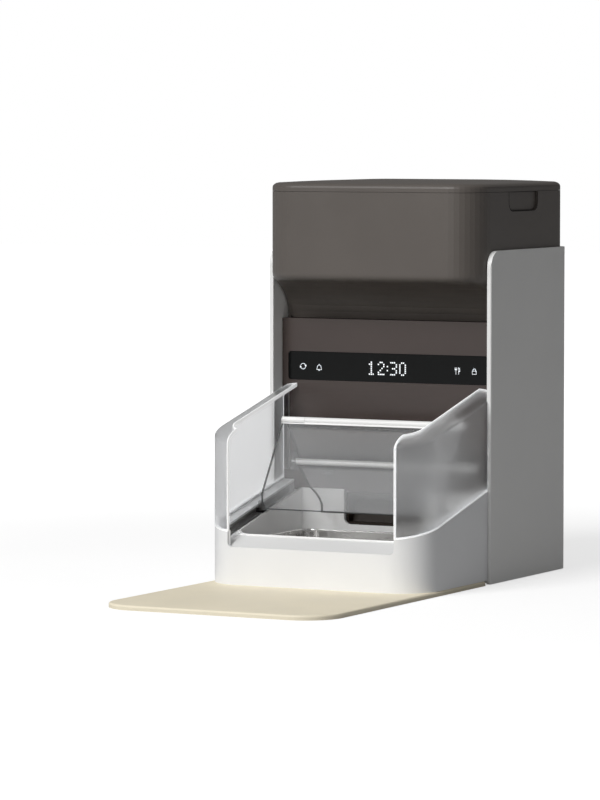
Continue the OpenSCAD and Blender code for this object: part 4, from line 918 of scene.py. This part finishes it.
def floor_material():
    """Pale floor, which keeps the object's shadow, and shows white to some kinds of rays."""
    material, tree, shader = new_material("floor_white")
    tree.nodes.remove(shader)
    plain = tree.nodes.new("ShaderNodeBsdfDiffuse")
    mottle = ramp(tree, noise(tree, coordinates(tree), MOTTLE_SCALE), FLOOR_DARK, FLOOR_LIGHT)
    tree.links.new(mottle, plain.inputs["Color"])
    away = tree.nodes.new("ShaderNodeVectorMath")
    away.operation = "LENGTH"
    tree.links.new(coordinates(tree), away.inputs[0])
    tone = tree.nodes.new("ShaderNodeValToRGB")
    tone.color_ramp.interpolation = "EASE"
    tone.color_ramp.elements[0].position = NEAR / REACH
    tone.color_ramp.elements[0].color = NEAR_WHITE
    tone.color_ramp.elements[1].position = FAR / REACH
    tone.color_ramp.elements[1].color = FAR_WHITE
    tree.links.new(math_node(tree, "DIVIDE", away.outputs["Value"], REACH), tone.inputs["Fac"])
    glow = tree.nodes.new("ShaderNodeEmission")
    tree.links.new(tone.outputs["Color"], glow.inputs["Color"])
    tree.links.new(white_share(tree), glow.inputs["Strength"])
    both = tree.nodes.new("ShaderNodeAddShader")
    tree.links.new(plain.outputs["BSDF"], both.inputs[0])
    tree.links.new(glow.outputs["Emission"], both.inputs[1])
    tree.links.new(both.outputs["Shader"], tree.nodes["Material Output"].inputs["Surface"])
    return material


def add_floor():
    mesh = bpy.data.meshes.new("floor")
    build = bmesh.new()
    bmesh.ops.create_grid(build, x_segments=FLOOR_CELLS, y_segments=FLOOR_CELLS, size=FLOOR_HALF)
    build.to_mesh(mesh)
    build.free()
    mesh.materials.append(floor_material())
    obj = bpy.data.objects.new("floor", mesh)
    bpy.context.scene.collection.objects.link(obj)


def add_world():
    """Soft light that falls off to one side, and plain white for the camera and through glass."""
    world = bpy.data.worlds.new("studio")
    bpy.context.scene.world = world
    world.use_nodes = True
    tree = world.node_tree
    background = tree.nodes["Background"]
    background.inputs["Color"].default_value = (1, 1, 1, 1)
    way = tree.nodes.new("ShaderNodeTexCoord")
    level = tree.nodes.new("ShaderNodeMapRange")
    level.inputs["From Min"].default_value = -1.0
    level.inputs["To Min"].default_value = SKY_STRENGTH[0]
    level.inputs["To Max"].default_value = SKY_STRENGTH[1]
    tree.links.new(dot_product(tree, way.outputs["Generated"], SKY_WAY), level.inputs["Value"])
    tree.links.new(level.outputs["Result"], background.inputs["Strength"])
    white = tree.nodes.new("ShaderNodeBackground")
    white.inputs["Color"].default_value = (1, 1, 1, 1)
    white.inputs["Strength"].default_value = 1.0
    path = tree.nodes.new("ShaderNodeLightPath")
    seen = math_node(tree, "MAXIMUM", path.outputs["Is Camera Ray"], path.outputs["Is Transmission Ray"])
    mix = tree.nodes.new("ShaderNodeMixShader")
    tree.links.new(seen, mix.inputs["Fac"])
    tree.links.new(background.outputs["Background"], mix.inputs[1])
    tree.links.new(white.outputs["Background"], mix.inputs[2])
    tree.links.new(mix.outputs["Shader"], tree.nodes["World Output"].inputs["Surface"])


def add_lamp():
    lamp = bpy.data.lights.new("key", "AREA")
    lamp.shape = "RECTANGLE"
    lamp.size = KEY_SIZE
    lamp.size_y = KEY_SIZE
    lamp.energy = KEY_POWER
    obj = bpy.data.objects.new("key", lamp)
    obj.location = KEY_PLACE
    obj.rotation_euler = (Vector(KEY_TARGET) - Vector(KEY_PLACE)).to_track_quat("-Z", "Y").to_euler()
    bpy.context.scene.collection.objects.link(obj)


def add_camera():
    camera = bpy.data.cameras.new("camera")
    camera.lens = CAMERA_LENS
    camera.sensor_width = CAMERA_SENSOR
    camera.clip_end = CAMERA_FAR
    obj = bpy.data.objects.new("camera", camera)
    obj.location = CAMERA_PLACE
    obj.rotation_euler = CAMERA_TURN
    bpy.context.scene.collection.objects.link(obj)
    bpy.context.scene.camera = obj


add_floor()
add_world()
add_lamp()
add_camera()
bpy.context.scene.view_settings.view_transform = "Standard"
